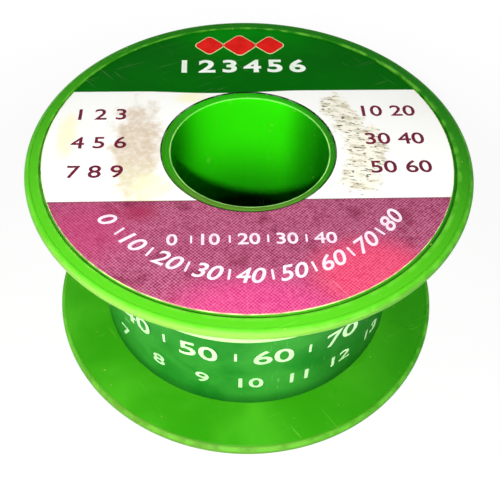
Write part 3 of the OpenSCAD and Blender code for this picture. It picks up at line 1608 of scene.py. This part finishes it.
@dataclass
class SpoolMoulding:
    """The one-piece moulded spool: two rimmed flanges on a barrel.

    Attributes:
        flange_r: Radius of both flanges.
        height: Height over both rims.
        flange_t: Thickness of a flange at its rim.
        bore_r: Radius of the bore.
        barrel_r: Outer radius of the barrel.
        rim_in_r: Inner radius of the raised rims.
        recess: Depth of the recesses inside the rims.
        hub_r: Outer radius of the ring that stands round each mouth of the bore.
        hub_drop: Depth of that ring's face below the rim.
        hub_round: Rounding of that ring's edge.
        recess_shift: How far the recesses lie off the bore's axis.
        recess_reach: How far inside and outside rim_in_r corners shift with them.
        edge_round: Rounding of the flanges' outer edges.
        edge_steps: Faces across it.
        rim_round: Rounding of the rims' inner edges.
        line_depth: Depth of the fine moulding lines.
        line_half: Half their width.
        mouth_round: Rounding of the bore's mouths.
        fillet: Rounding between barrel and flanges.
        ridge_turn: Azimuth of the mould's split line.
        ridge_size: Width and height of the ridges that it leaves.
        ridge_span: Radii between which they run.
        anchor: Radius, azimuth and diameter of the hole that holds the start of the wire.
        lathe: What turns the spool.
    """

    flange_r: float = 25.0
    height: float = 25.6
    flange_t: float = 1.3
    bore_r: float = 8.9
    barrel_r: float = 10.5
    rim_in_r: float = 23.3
    recess: float = 0.3
    hub_r: float = 9.55
    hub_drop: float = 0.1
    hub_round: float = 0.1
    recess_shift: Point2 = (-0.12, 0.15)
    recess_reach: Point2 = (0.2, 0.4)
    edge_round: float = 0.58
    edge_steps: int = 14
    rim_round: float = 0.16
    line_depth: float = 0.025
    line_half: float = 0.04
    mouth_round: float = 0.24
    fillet: float = 0.2
    ridge_turn: float = -18.9
    ridge_size: Point2 = (0.12, 0.05)
    ridge_span: Point2 = (19.27, 24.1)
    anchor: Point3 = (11.4, 205.0, 1.2)
    lathe: Lathe = field(default_factory=lambda: Lathe(256))

    def section(self) -> list[Point2]:
        """Gives the corners of the section, anticlockwise from the lower mouth.

        Returns:
            Radius and height of each corner.
        """
        lower = [
            (self.bore_r, self.hub_drop),
            (self.hub_r, self.hub_drop),
            (self.hub_r, self.recess),
            (self.rim_in_r, self.recess),
            (self.rim_in_r, 0.0),
            *self._outer_edge(0.0, -1),
            *reversed(self._outer_edge(self.flange_t, 1)),
            (self.barrel_r, self.flange_t),
        ]
        upper = [(radius, self.height - height) for radius, height in reversed(lower)]
        return lower + upper

    def _outer_edge(self, face: float, side: int) -> list[Point2]:
        """Gives one rounded edge of a flange, with a fine line beside it and one along its middle.

        Args:
            face: Height of the face that the edge belongs to.
            side: 1 where the face looks up, -1 where it looks down.

        Returns:
            Radius and height of each corner, from the face to the wall.
        """
        size, steps = self.edge_round, self.edge_steps
        centre_r, centre_h = self.flange_r - size, face - side * size
        start = centre_r - self.line_half / 2
        corners = [
            (start - 2 * self.line_half, face),
            (start - self.line_half, face - side * self.line_depth),
            (start, face),
        ]
        for count in range(steps + 1):
            turn = math.radians(90 * count / steps)
            reach = size - (self.line_depth if count == steps // 2 else 0)
            lift = side * reach * math.cos(turn)
            corners.append((centre_r + reach * math.sin(turn), centre_h + lift))
        return corners

    def build(self) -> Piece:
        """Turns the spool, rounds its edges, adds the ridges and cuts the wire's hole.

        Returns:
            The spool.
        """
        spool = self.lathe.turn("spool_moulding", self.section())
        for flip in (False, True):
            for radius, height, amount, steps in self._roundings():
                level = self.height - height if flip else height
                self.lathe.round_ring(spool, (radius, level), amount, steps)
        self._shift_recesses(spool)
        Bench.cut(spool, self._ridges(), "UNION")
        Bench.cut(spool, self._anchor_drill(), "DIFFERENCE")
        Bench.face_out(spool)
        Bench.smooth(spool, 32)
        return spool

    def _roundings(self) -> list[tuple[float, float, float, int]]:
        """Lists the lower flange's edges: radius, height, size of rounding and steps."""
        return [
            (self.bore_r, self.hub_drop, self.mouth_round, 5),
            (self.hub_r, self.hub_drop, self.hub_round, 4),
            (self.rim_in_r, 0.0, self.rim_round, 5),
            (self.barrel_r, self.flange_t, self.fillet, 4),
        ]

    def _shift_recesses(self, spool: Piece) -> None:
        """Moves the inner edge of both rims a little off the bore's axis.

        Args:
            spool: The spool.
        """
        Bench.open(spool, "DESELECT")
        low, high = self.rim_in_r - self.recess_reach[0], self.rim_in_r + self.recess_reach[1]
        Bench.pick(spool, lambda place: low < math.hypot(place.x, place.y) / MM < high)
        across, along = self.recess_shift
        bpy.ops.transform.translate(value=(across * MM, along * MM, 0))
        Bench.close()

    def _ridges(self) -> Piece:
        """Makes the fine radial ridges that the split mould leaves inside the flanges.

        Returns:
            The four ridges as one tool.
        """
        width, lift = self.ridge_size
        inner, outer = self.ridge_span
        made = []
        for level in (self.flange_t, self.height - self.flange_t):
            for side in (0, 180):
                Bench.clear()
                turn = math.radians(self.ridge_turn + side)
                place = polar((inner + outer) / 2, turn, level) * MM
                bpy.ops.mesh.primitive_cube_add(size=1, location=place, rotation=(0, 0, turn))
                ridge = bpy.context.object
                ridge.scale = Vector((outer - inner, width, 2 * lift)) * MM
                Bench.settle(ridge)
                Bench.open(ridge)
                bpy.ops.mesh.bevel(offset=lift / 2 * MM, segments=2, affect="EDGES")
                Bench.close()
                made.append(ridge)
        return Bench.join("ridge_tool", made)

    def _anchor_drill(self) -> Piece:
        """Makes the drill for the hole that holds the start of the wire.

        Returns:
            The drill.
        """
        radius, turn, diameter = self.anchor
        Bench.clear()
        bpy.ops.mesh.primitive_cylinder_add(
            vertices=32,
            radius=diameter * MM / 2,
            depth=self.flange_t * 2 * MM,
            location=polar(radius, math.radians(turn), self.flange_t / 2) * MM,
        )
        drill = bpy.context.object
        Bench.settle(drill)
        return drill

    def dress(self, spool: Piece) -> None:
        """Gives the spool its plastic."""
        Bench.hand_over(spool, Slot.PLASTIC, MouldedPlastic().make(), ["spool_body"])


@dataclass
class Winding:
    """The wound wire: plain inner layers, the close outer layer and both ends.

    Attributes:
        wire_d: Diameter of the wire.
        turn_r: Radius of the outer layer at the middle of the wire.
        low: Height of the middle of its first turn.
        high: Height of the middle of its last turn.
        turns: Turns of the outer layer.
        leave_at: Azimuth at which the free end leaves the winding.
        free_end: Length of the free end.
        bends: Straight parts that the free end is made of.
        spread: How much further out each of them leads than the one before, per length.
        barrel_r: Radius of the barrel that the wire is wound on.
        under_drop: How much nearer to the axis the next layer lies.
        core_gap: Distance between that layer and the core.
        wire_sides: Faces round the wire.
        steps_round: Straight parts in one turn of the wire.
        end_reach: How far corners of the wire's end lie from its middle, in diameters.
        cut_inset: Width of the rim round the cut face of the free end.
        flux_share: Diameter of the flux core as a share of the wire's.
        anchor: Radius, azimuth and height of the start's cut face.
    """

    wire_d: float = 0.6
    turn_r: float = 18.4
    low: float = 1.65
    high: float = 23.95
    turns: int = 37
    leave_at: float = 70.0
    free_end: float = 3.0
    bends: int = 8
    spread: float = 0.02
    barrel_r: float = 10.55
    under_drop: float = 0.52
    core_gap: float = 0.08
    wire_sides: int = 10
    steps_round: int = 84
    end_reach: float = 0.52
    cut_inset: float = 0.03
    flux_share: float = 0.32
    anchor: Point3 = (11.4, 205.0, 0.15)

    @property
    def pitch(self) -> float:
        """Gives the rise of one turn."""
        return (self.high - self.low) / self.turns

    @property
    def angle(self) -> float:
        """Gives the azimuth of the wire's ends in radians."""
        return math.radians(self.leave_at)

    @property
    def ahead(self) -> Vector:
        """Gives the direction in which the wire runs there."""
        return Vector((-math.sin(self.angle), math.cos(self.angle), 0))

    def _coil(self, name: str, radius: float, start_z: float, turns: int) -> Piece:
        """Winds one layer of wire.

        Args:
            name: The name of the piece.
            radius: Radius at the middle of the wire.
            start_z: Height of the middle of the first turn.
            turns: Number of turns.

        Returns:
            The layer, as a tube without end faces.
        """
        Bench.clear()
        bpy.ops.mesh.primitive_circle_add(
            vertices=self.wire_sides,
            radius=self.wire_d * MM / 2,
            location=polar(radius, self.angle, start_z) * MM,
            rotation=(math.pi / 2, 0, self.angle),
        )
        layer = bpy.context.object
        layer.name = layer.data.name = name
        Bench.settle(layer)
        steps = {"steps": self.steps_round, "render_steps": self.steps_round, "iterations": turns}
        rise = {"axis": "Z", "angle": math.tau, "screw_offset": self.pitch * MM}
        Bench.modify(layer, "SCREW", use_merge_vertices=False, **steps, **rise)
        return layer

    def _pick_end(self, layer: Piece, radius: float, height: float) -> None:
        """Opens a layer with the corners of one of its ends selected.

        Args:
            layer: The layer.
            radius: Radius of the end's middle.
            height: Its height.
        """
        spot, reach = polar(radius, self.angle, height), self.wire_d * self.end_reach
        Bench.open(layer, "DESELECT")
        Bench.pick(layer, lambda place: (place / MM - spot).length < reach)

    def _close(self, layer: Piece, radius: float, height: float) -> None:
        """Closes one open end of a layer.

        Args:
            layer: The layer.
            radius: Radius of the end's middle.
            height: Its height.
        """
        self._pick_end(layer, radius, height)
        bpy.ops.mesh.edge_face_add()
        Bench.close()

    def build_layers(self) -> Piece:
        """Builds the inner layers: a full core with one wound layer round it.

        Returns:
            The inner layers as one piece.
        """
        radius = self.turn_r - self.under_drop
        start_z = self.low + self.pitch / 2
        turns = self.turns - 1
        layer = self._coil("inner_layer", radius, start_z, turns)
        for height in (start_z, start_z + turns * self.pitch):
            self._close(layer, radius, height)
        core_r = radius - self.wire_d / 2 - self.core_gap
        low, high = self.low - self.wire_d / 2, self.high + self.wire_d / 2
        lathe = Lathe(128)
        section = [(self.barrel_r, low), (core_r, low), (core_r, high), (self.barrel_r, high)]
        core = lathe.turn("wire_core", section)
        for level in (low, high):
            lathe.round_ring(core, (core_r, level), self.wire_d / 2, steps=4)
        made = Bench.join("wire_layers", [core, layer])
        Bench.face_out(made)
        Bench.smooth(made, 40, weighted=False)
        return made

    def build_turns(self) -> Piece:
        """Builds the outer layer, with its start closed and its free end led out and cut off.

        Returns:
            The outer layer.
        """
        layer = self._coil("wire_turns", self.turn_r, self.low, self.turns)
        self._pick_end(layer, self.turn_r, self.high)
        step = self.free_end / self.bends
        for count in range(self.bends):
            spread = polar(1.0, self.angle) * self.spread * count
            move = (self.ahead * step + spread * step) * MM
            bpy.ops.mesh.extrude_edges_move(TRANSFORM_OT_translate={"value": move})
        bpy.ops.mesh.edge_face_add()
        bpy.ops.mesh.inset(thickness=self.cut_inset * MM)
        Bench.close()
        self._close(layer, self.turn_r, self.low)
        Bench.face_out(layer)
        Bench.smooth(layer, 50, weighted=False)
        return layer

    def build_flux(self, name: str, place: Vector, facing: Vector) -> Piece:
        """Builds the core of flux that shows in a cut end of the wire.

        Args:
            name: The name of the piece.
            place: The middle of the cut face, in millimetres.
            facing: The direction that the cut face looks in.

        Returns:
            The flux core's end.
        """
        Bench.clear()
        turn = facing.to_track_quat("Z", "Y").to_euler()
        bpy.ops.mesh.primitive_cylinder_add(
            vertices=16,
            radius=self.wire_d * self.flux_share * MM / 2,
            depth=0.06 * MM,
            location=place * MM,
            rotation=turn,
        )
        flux = bpy.context.object
        flux.name = flux.data.name = name
        Bench.settle(flux)
        Bench.open(flux)
        bpy.ops.mesh.bevel(offset=0.01 * MM, segments=2, affect="EDGES")
        Bench.close()
        return flux

    def build(self) -> dict[str, Piece]:
        """Builds all pieces of the wire.

        Returns:
            Each piece by its name.
        """
        drift = self.spread * self.free_end / self.bends * sum(range(self.bends))
        end = polar(self.turn_r, self.angle, self.high)
        tip = end + self.ahead * self.free_end + polar(drift, self.angle)
        radius, turn, lift = self.anchor
        foot = polar(radius, math.radians(turn), lift)
        pieces = [
            self.build_layers(),
            self.build_turns(),
            self.build_flux("free_end_flux", tip, self.ahead),
            self.build_flux("start_flux", foot, Vector((0, 0, -1))),
        ]
        return {piece.name: piece for piece in pieces}

    def dress(self, pieces: dict[str, Piece]) -> None:
        """Gives the wire its metal, also where a CAD node shows.

        Args:
            pieces: What build made.
        """
        solder, flux = DrawnSolder().make(), FluxCore().make()
        Bench.hand_over(pieces["wire_layers"], Slot.SOLDER, solder, ["wound_wire_core"])
        Bench.hand_over(pieces["wire_turns"], Slot.SOLDER, solder, ["outer_turns"])
        Bench.hand_over(pieces["free_end_flux"], Slot.SOLDER, flux)
        Bench.hand_over(pieces["start_flux"], Slot.SOLDER, flux)
        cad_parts["wire_start"].material_slots[0].material = solder


@dataclass
class RoundLabel:
    """The round paper label in the upper recess, with its printed marks.

    Attributes:
        radius: Radius of the label.
        hole_r: Radius of its hole.
        hole_shift: How far the hole lies off the bore's axis.
        floor_z: Height of the recess that it lies in.
        paper: Thickness of the paper.
        shift: How far it lies off the bore's axis.
        turn: Turn of its print in degrees.
        edge_round: Rounding of the paper's upper edges.
        ink: Thickness of the ink.
        lozenge_row: Place across and size of each lozenge.
        lozenge_along: Place of the lozenges to the back.
        lozenge_half: Half width and half height of a lozenge of size 1.
        lozenge_round: Rounding of its corners, as a share of half its size.
        outline: How far the outlines reach beyond the lozenges.
        outline_share: Their thickness as a share of the ink's.
        title: The row of large figures.
        columns: The dark figures beside the bore, with their places.
        ruler: The straight scale.
        ruler_tick: A tick between its figures.
        dial: The scale along the front: azimuths from the front, and its radius.
        dial_tick: A tick between its figures.
    """

    radius: float = 23.04
    hole_r: float = 9.85
    hole_shift: Point2 = (-0.15, 0.22)
    floor_z: float = 25.3
    paper: float = 0.12
    shift: Point2 = (-0.2, 0.33)
    turn: float = 3.1
    edge_round: float = 0.03
    ink: float = 0.03
    lozenge_row: tuple[Point2, ...] = ((-4.35, 0.86), (-0.45, 1.0), (3.45, 0.86))
    lozenge_along: float = 19.4
    lozenge_half: Point2 = (2.3, 2.35)
    lozenge_round: float = 0.3
    outline: float = 0.16
    outline_share: float = 0.7
    title: Row = Row(6, -0.4, 2.85, 15.0)
    columns: tuple[tuple[str, float, float], ...] = (
        ("1 2 3", -16.9, 5.85),
        ("4 5 6", -16.9, 0.95),
        ("7 8 9", -16.9, -3.75),
        ("10 20", 16.9, 6.1),
        ("30 40", 16.9, 1.2),
        ("50 60", 16.9, -3.45),
    )
    ruler: Row = Row(5, -0.4, 3.9, -13.7)
    ruler_tick: Bar = Bar(0.2, 1.0)
    dial: Row = Row(9, 2.0, 13.25, 18.4)
    dial_tick: Bar = Bar(0.24, 1.3)

    def _stamp(self, mark: Mark, across: float, along: float, lean: float = 0.0) -> Stamp:
        """Places one mark in the print, with the ink's lower half in the paper.

        Args:
            mark: The mark.
            across: Distance to the right of the print's middle.
            along: Distance to the back of it.
            lean: The mark's own turn in degrees.

        Returns:
            The stamp.
        """
        turn, angle = math.radians(self.turn), math.radians(self.turn + lean)
        place = (
            self.shift[0] + across * math.cos(turn) - along * math.sin(turn),
            self.shift[1] + across * math.sin(turn) + along * math.cos(turn),
            self.floor_z + self.paper,
        )
        right = (math.cos(angle), math.sin(angle), 0)
        return Stamp(mark, place, right, (-right[1], right[0], 0))

    def build_paper(self) -> Piece:
        """Builds the paper ring.

        Returns:
            The label.
        """
        lathe = Lathe()
        low, high = self.floor_z, self.floor_z + self.paper
        section = [(self.hole_r, low), (self.radius, low), (self.radius, high), (self.hole_r, high)]
        label = lathe.turn("round_label", section)
        for radius in (self.hole_r, self.radius):
            lathe.round_ring(label, (radius, high), self.edge_round, 2)
        middle = (self.hole_r + self.radius) / 2
        for outer, (across, along) in ((False, self.hole_shift), (True, self.shift)):
            Bench.open(label, "DESELECT")
            Bench.pick(label, lambda place: (math.hypot(place.x, place.y) / MM > middle) == outer)
            bpy.ops.transform.translate(value=(across * MM, along * MM, 0))
            Bench.close()
        Bench.smooth(label, PAPER_SMOOTH_TO)
        return label

    def build_lozenges(self, name: str, grow: float, ink: float) -> Piece:
        """Builds a row of three rounded lozenges.

        Args:
            name: The name of the piece.
            grow: What is added to half their width and height.
            ink: Thickness of the ink.

        Returns:
            The row.
        """
        made = []
        for across, size in self.lozenge_row:
            Bench.clear()
            bpy.ops.mesh.primitive_circle_add(vertices=4, radius=1, fill_type="NGON")
            lozenge = bpy.context.object
            Bench.open(lozenge)
            bpy.ops.mesh.bevel(offset=self.lozenge_round, segments=6, affect="VERTICES")
            bpy.ops.mesh.extrude_region_move(TRANSFORM_OT_translate={"value": (0, 0, 1)})
            Bench.close()
            stamp = self._stamp(name, across, self.lozenge_along)
            wide, tall = ((half * size + grow) * MM for half in self.lozenge_half)
            lozenge.matrix_world = stamp.matrix() @ Matrix.Diagonal((wide, tall, ink * MM, 1))
            Bench.settle(lozenge)
            made.append(lozenge)
        row = Bench.join(name, made)
        Bench.face_out(row)
        return row

    def build_title(self) -> Piece:
        """Builds the row of large white figures in the green zone.

        Returns:
            The row.
        """
        press = Printer(figure_height=2.5, ink=self.ink, stretch=1.25, weight=0.03)
        places = enumerate(self.title.places(), start=1)
        marks = [self._stamp(str(count), across, self.title.level) for count, across in places]
        return press.run("title_figures", marks)

    def build_columns(self) -> Piece:
        """Builds the dark rows of figures at both sides of the bore.

        Returns:
            The rows.
        """
        press = Printer(figure_height=1.95, ink=self.ink, stretch=1.15, weight=0.014)
        return press.run("column_figures", [self._stamp(*row) for row in self.columns])

    def build_ruler(self) -> Piece:
        """Builds the straight scale of small white figures and ticks.

        Returns:
            The scale.
        """
        press = Printer(figure_height=1.5, ink=self.ink, stretch=1.15, weight=0.016)
        row, marks = self.ruler, []
        for index, across in enumerate(row.places()):
            marks.append(self._stamp(str(index * 10), across, row.level))
            if index < row.count - 1:
                marks.append(self._stamp(self.ruler_tick, across + row.pace / 2, row.level))
        return press.run("ruler_figures", marks)

    def build_arc(self) -> Piece:
        """Builds the dial of white figures along the front of the label.

        Returns:
            The dial.
        """
        press = Printer(figure_height=1.9, ink=self.ink, stretch=1.1, weight=0.014, slant=0.25)
        row, marks = self.dial, []
        for index, azimuth in enumerate(row.places()):
            marks.append(self._on_arc(str(index * 10), azimuth, row.level))
            if index < row.count - 1:
                marks.append(self._on_arc(self.dial_tick, azimuth + row.pace / 2, row.level))
        return press.run("dial_figures", marks)

    def _on_arc(self, mark: Mark, azimuth: float, radius: float) -> Stamp:
        """Places a mark on the dial.

        Args:
            mark: The mark.
            azimuth: Degrees from the front, positive to the right.
            radius: Distance from the label's middle.

        Returns:
            The stamp, with its foot towards the rim.
        """
        angle = math.radians(azimuth - self.turn)
        across, along = radius * math.sin(angle), -radius * math.cos(angle)
        return self._stamp(mark, across, along, azimuth - self.turn)

    def build(self) -> dict[str, Piece]:
        """Builds the label and its marks.

        Returns:
            Each piece by its name.
        """
        pieces = [
            self.build_paper(),
            self.build_lozenges("lozenge_outlines", self.outline, self.ink * self.outline_share),
            self.build_lozenges("lozenges", 0.0, self.ink),
            self.build_title(),
            self.build_columns(),
            self.build_ruler(),
            self.build_arc(),
        ]
        return {piece.name: piece for piece in pieces}

    def dress(self, pieces: dict[str, Piece]) -> None:
        """Gives the paper and each ink their finish.

        Args:
            pieces: What build made.
        """
        white = PrintInk("white_ink", srgb(252, 255, 250), srgb(214, 240, 206)).make()
        pink_white = PrintInk("pink_white_ink", srgb(244, 222, 234), srgb(226, 188, 208)).make()
        red = PrintInk("red_ink", srgb(236, 24, 10), srgb(206, 16, 12)).make()
        maroon = PrintInk("maroon_ink", srgb(112, 20, 52), srgb(84, 22, 46)).make()
        pale = PrintInk("outline_ink", srgb(214, 236, 170), srgb(180, 210, 120)).make()
        paper = LabelPrint(turn=self.turn).make()
        Bench.hand_over(pieces["round_label"], Slot.ROUND_LABEL, paper, ["top_label"])
        inks = {
            "lozenge_outlines": pale,
            "lozenges": red,
            "title_figures": white,
            "column_figures": maroon,
            "ruler_figures": pink_white,
            "dial_figures": pink_white,
        }
        for name, ink in inks.items():
            Bench.hand_over(pieces[name], Slot.ROUND_LABEL, ink)


@dataclass
class BandLabel:
    """The paper band round the winding, lapped over itself at the back.

    Attributes:
        inner_r: Inner radius of the paper.
        paper: Thickness of the paper.
        foot: Height of its lower edge.
        tall: Height of the band.
        lap: Degrees over which its end lies on its start.
        lap_middle: Azimuth of the middle of the lap.
        step: Degrees of one straight part of it.
        ramp_steps: Such parts over which it climbs onto its start.
        paper_share: Thickness that is modelled, so that the lap doesn't touch.
        ink: Thickness of the ink.
        large_row: The large figures: azimuths from the front, and their height.
        large_tick: A tick after each of them.
        small_row: The small figures: the same.
        small: Size of the small figures, as a share of the large ones'.
    """

    inner_r: float = 18.73
    paper: float = 0.12
    foot: float = 1.36
    tall: float = 15.1
    lap: float = 24.0
    lap_middle: float = 90.0
    step: float = 2.4
    ramp_steps: int = 4
    paper_share: float = 0.96
    ink: float = 0.05
    large_row: Row = Row(12, -3.0, 26.0, 11.5)
    large_tick: Bar = Bar(0.3, 1.5)
    small_row: Row = Row(18, -6.25, 17.5, 6.1)
    small: float = 0.76

    def build_paper(self) -> Piece:
        """Builds the band: one upright edge, drawn round the winding and over itself.

        Returns:
            The band.
        """
        Bench.clear()
        angle = math.radians(self.lap_middle - self.lap / 2)
        radius = self.inner_r
        spot = polar(1.0, angle) * radius
        bpy.ops.mesh.primitive_plane_add(size=1)
        band = bpy.context.object
        band.name = band.data.name = "band_label"
        Bench.open(band)
        bpy.ops.mesh.merge(type="CENTER")
        bpy.ops.transform.translate(value=(spot.x * MM, spot.y * MM, self.foot * MM))
        bpy.ops.mesh.extrude_vertices_move(TRANSFORM_OT_translate={"value": (0, 0, self.tall * MM)})
        bpy.ops.mesh.select_all(action="SELECT")
        rounds = round((360 + self.lap) / self.step)
        climb = round(360 / self.step) - self.ramp_steps
        for count in range(rounds):
            climbs = climb <= count < climb + self.ramp_steps
            next_radius = radius + (self.paper / self.ramp_steps if climbs else 0.0)
            next_angle = angle + math.radians(self.step)
            move = (polar(1.0, next_angle) * next_radius - polar(1.0, angle) * radius) * MM
            bpy.ops.mesh.extrude_edges_move(TRANSFORM_OT_translate={"value": move})
            angle, radius = next_angle, next_radius
        bpy.ops.mesh.select_all(action="SELECT")
        bpy.ops.mesh.normals_make_consistent(inside=False)
        Bench.close()
        face = band.data.polygons[0]
        side = math.copysign(1, face.normal.dot(face.center))
        Bench.modify(band, "SOLIDIFY", thickness=self.paper * MM * self.paper_share, offset=side)
        Bench.face_out(band)
        Bench.smooth(band, PAPER_SMOOTH_TO)
        return band

    def _stamp(self, mark: Mark, azimuth: float, height: float, grow: float = 1.0) -> Stamp:
        """Places a mark upright on the band.

        Args:
            mark: The mark.
            azimuth: Degrees from the front, positive to the right.
            height: Height of the mark's middle.
            grow: Factor on its size.

        Returns:
            The stamp.
        """
        angle = math.radians(azimuth)
        radius = self.inner_r + self.paper
        place = (radius * math.sin(angle), -radius * math.cos(angle), height)
        return Stamp(mark, place, (math.cos(angle), math.sin(angle), 0), (0, 0, 1), grow)

    def build_marks(self) -> Piece:
        """Builds the two rows of pale figures that run round the band.

        Returns:
            The rows.
        """
        press = Printer(figure_height=2.7, ink=self.ink, stretch=1.3, weight=0.012)
        large, small, marks = self.large_row, self.small_row, []
        for index, azimuth in enumerate(large.places()):
            marks.append(self._stamp(str(index * 10), azimuth, large.level))
            marks.append(self._stamp(self.large_tick, azimuth + large.pace / 2, large.level))
        for index, azimuth in enumerate(small.places()):
            marks.append(self._stamp(str(index + 1), azimuth, small.level, self.small))
        return press.run("band_figures", marks)

    def build(self) -> dict[str, Piece]:
        """Builds the band and its figures.

        Returns:
            Each piece by its name.
        """
        return {"band_label": self.build_paper(), "band_figures": self.build_marks()}

    def dress(self, pieces: dict[str, Piece]) -> None:
        """Gives the band its paper and its ink.

        Args:
            pieces: What build made.
        """
        # The white figures are tinted mint as painted green bounce light.
        mint = PrintInk("white_ink_painted_bounce", srgb(206, 242, 190), srgb(166, 218, 146)).make()
        Bench.hand_over(pieces["band_label"], Slot.BAND_LABEL, BandPrint().make(), ["wrap_label"])
        Bench.hand_over(pieces["band_figures"], Slot.BAND_LABEL, mint)


# ---------------------------------------------------------------- studio


@dataclass(frozen=True)
class SoftBox:
    """One round studio lamp, aimed at the spool.

    Attributes:
        name: The lamp's name.
        azimuth: Degrees from the front, positive to the right.
        elevation: Degrees above the floor.
        away: Distance from the spool's middle, in metres.
        size: The lamp's diameter, in metres.
        power: Its power in watts.
    """

    name: str
    azimuth: float
    elevation: float
    away: float
    size: float
    power: float

    def build(self, middle: Vector) -> None:
        """Sets up the lamp.

        Args:
            middle: The point that it is aimed at.
        """
        turn, rise = math.radians(self.azimuth), math.radians(self.elevation)
        level = math.cos(rise)
        way = Vector((math.sin(turn) * level, -math.cos(turn) * level, math.sin(rise)))
        lamp = bpy.data.lights.new(self.name, "AREA")
        lamp.shape, lamp.size, lamp.energy = "DISK", self.size, self.power
        made = bpy.data.objects.new(self.name, lamp)
        made.location = middle + way * self.away
        made.rotation_euler = way.to_track_quat("Z", "Y").to_euler()
        bpy.context.scene.collection.objects.link(made)


@dataclass(frozen=True)
class StudioFloor(Finish):
    """Pale floor that shows white to the camera and keeps the spool's shadow.

    Attributes:
        name: The material's name.
        spool_r: Radius of what stands on it, inside which it is only lit by the lamps.
        far: Radii between which the last of its white stops depending on the lamps.
        lit_share: How much of its white doesn't depend on them near the spool.
        pale: Its lighter colour.
        grey: Its darker colour.
    """

    name: str = "studio_floor"
    spool_r: float = 25.0
    far: Point2 = (35.0, 75.0)
    lit_share: float = 0.85
    pale: Colour = srgb(246, 246, 244)
    grey: Colour = srgb(238, 238, 236)

    def make(self) -> Material:
        """Makes the material.

        Returns:
            The floor's finish.
        """
        made, pen, shader = self.begin()
        place = pen.place_mm()
        across, along, _ = pen.split(place)
        pen.fill(shader, {
            "Base Color": pen.blend(pen.noise(place, 0.02, 2.0), self.pale, self.grey),
            "Roughness": 0.9,
            "Specular IOR Level": 0.1,
        })
        white = pen.node("ShaderNodeEmission")
        pen.fill(white, {"Color": (1, 1, 1, 1)})
        out = pen.radius(across, along)
        beside = pen.step(out, self.spool_r - 1.0, self.spool_r)
        white_share = pen.step(out, *self.far, (self.lit_share, 1.0))
        share = pen.math("MULTIPLY", pen.math("MULTIPLY", pen.seen(), beside), white_share)
        mix = pen.join(pen.node("ShaderNodeMixShader"), share, shader.outputs[0], white.outputs[0])
        result = next(node for node in made.node_tree.nodes if node.type == "OUTPUT_MATERIAL")
        pen.feed(result.inputs["Surface"], mix)
        return made


@dataclass
class Studio:
    """Floor, lamps, surroundings and camera.

    Attributes:
        middle: The point that the lamps are aimed at, in metres.
        ambient: Strength of the light from all sides.
        floor_side: The floor's side, in metres.
        focal_px: Focal length in pixels of a picture that is picture_width wide.
        picture_width: Width of that picture in pixels.
        sensor: Width of the camera's sensor in millimetres.
        eye: The camera's place in millimetres.
        eye_tilt: How far the camera looks down, in degrees.
        roll: Its turn about the line of sight, in degrees.
        aim: How far it is then tilted about its own X axis, in degrees.
        clip: Nearest and furthest distance that it shows, in metres.
        lamps: The lamps.
    """

    middle: Vector = field(default_factory=lambda: Vector((0, 0, 0.0128)))
    ambient: float = 0.08
    floor_side: float = 6.0
    focal_px: float = 751.5
    picture_width: int = 500
    sensor: float = 36.0
    eye: Point3 = (0.0, -62.9876, 83.1724)
    eye_tilt: float = 42.43
    roll: float = 1.52
    aim: float = -6.93
    clip: Point2 = (0.005, 20.0)
    lamps: tuple[SoftBox, ...] = (
        SoftBox("key_lamp", -4.7, 42.9, 0.14, 0.008, 0.262),
        SoftBox("left_lamp", -76.0, 10.0, 0.4, 0.14, 0.36),
        SoftBox("right_lamp", 82.0, 9.0, 0.4, 0.14, 0.15),
        SoftBox("back_left_lamp", -150.0, 9.0, 0.4, 0.16, 0.24),
        SoftBox("back_right_lamp", 150.0, 9.0, 0.4, 0.16, 0.2),
    )

    def build_floor(self) -> None:
        """Builds the floor."""
        Bench.clear()
        bpy.ops.mesh.primitive_plane_add(size=self.floor_side)
        floor = bpy.context.object
        floor.name = "studio_floor"
        Bench.open(floor)
        bpy.ops.mesh.subdivide(number_cuts=3)
        Bench.close()
        floor.data.materials.append(StudioFloor().make())

    def build_world(self) -> None:
        """Builds the surroundings: soft light from all sides, white where it is seen."""
        world = bpy.data.worlds.new("studio_world")
        bpy.context.scene.world = world
        world.use_nodes = True
        world.node_tree.nodes.clear()
        pen = Sketch(world.node_tree)
        strength = pen.math("MULTIPLY_ADD", pen.seen(), 1.0 - self.ambient, self.ambient)
        glow = pen.node("ShaderNodeBackground")
        pen.fill(glow, {"Color": (1, 1, 1, 1), "Strength": strength})
        pen.feed(pen.node("ShaderNodeOutputWorld").inputs["Surface"], glow.outputs[0])

    def build_camera(self) -> None:
        """Sets up the camera."""
        data = bpy.data.cameras.new("camera")
        data.sensor_width = self.sensor
        data.lens = self.focal_px / self.picture_width * self.sensor
        data.clip_start, data.clip_end = self.clip
        camera = bpy.data.objects.new("camera", data)
        down = Matrix.Rotation(math.radians(90 - self.eye_tilt), 4, "X")
        roll = Matrix.Rotation(math.radians(self.roll), 4, "Z")
        aim = Matrix.Rotation(math.radians(self.aim), 4, "X")
        camera.matrix_world = Matrix.Translation(Vector(self.eye) * MM) @ down @ roll @ aim
        bpy.context.scene.collection.objects.link(camera)
        bpy.context.scene.camera = camera

    def build(self) -> None:
        """Builds the whole studio."""
        bpy.context.scene.view_settings.view_transform = "Standard"
        self.build_floor()
        self.build_world()
        self.build_camera()
        for lamp in self.lamps:
            lamp.build(self.middle)


def main() -> None:
    """Builds the studio and every sub-assembly in order."""
    logging.basicConfig(level=logging.INFO, format="%(name)s: %(message)s")
    Studio().build()
    for maker in (SpoolMoulding(), Winding(), RoundLabel(), BandLabel()):
        LOG.info("building %s", type(maker).__name__)
        maker.dress(maker.build())


if __name__ == "__main__":
    main()
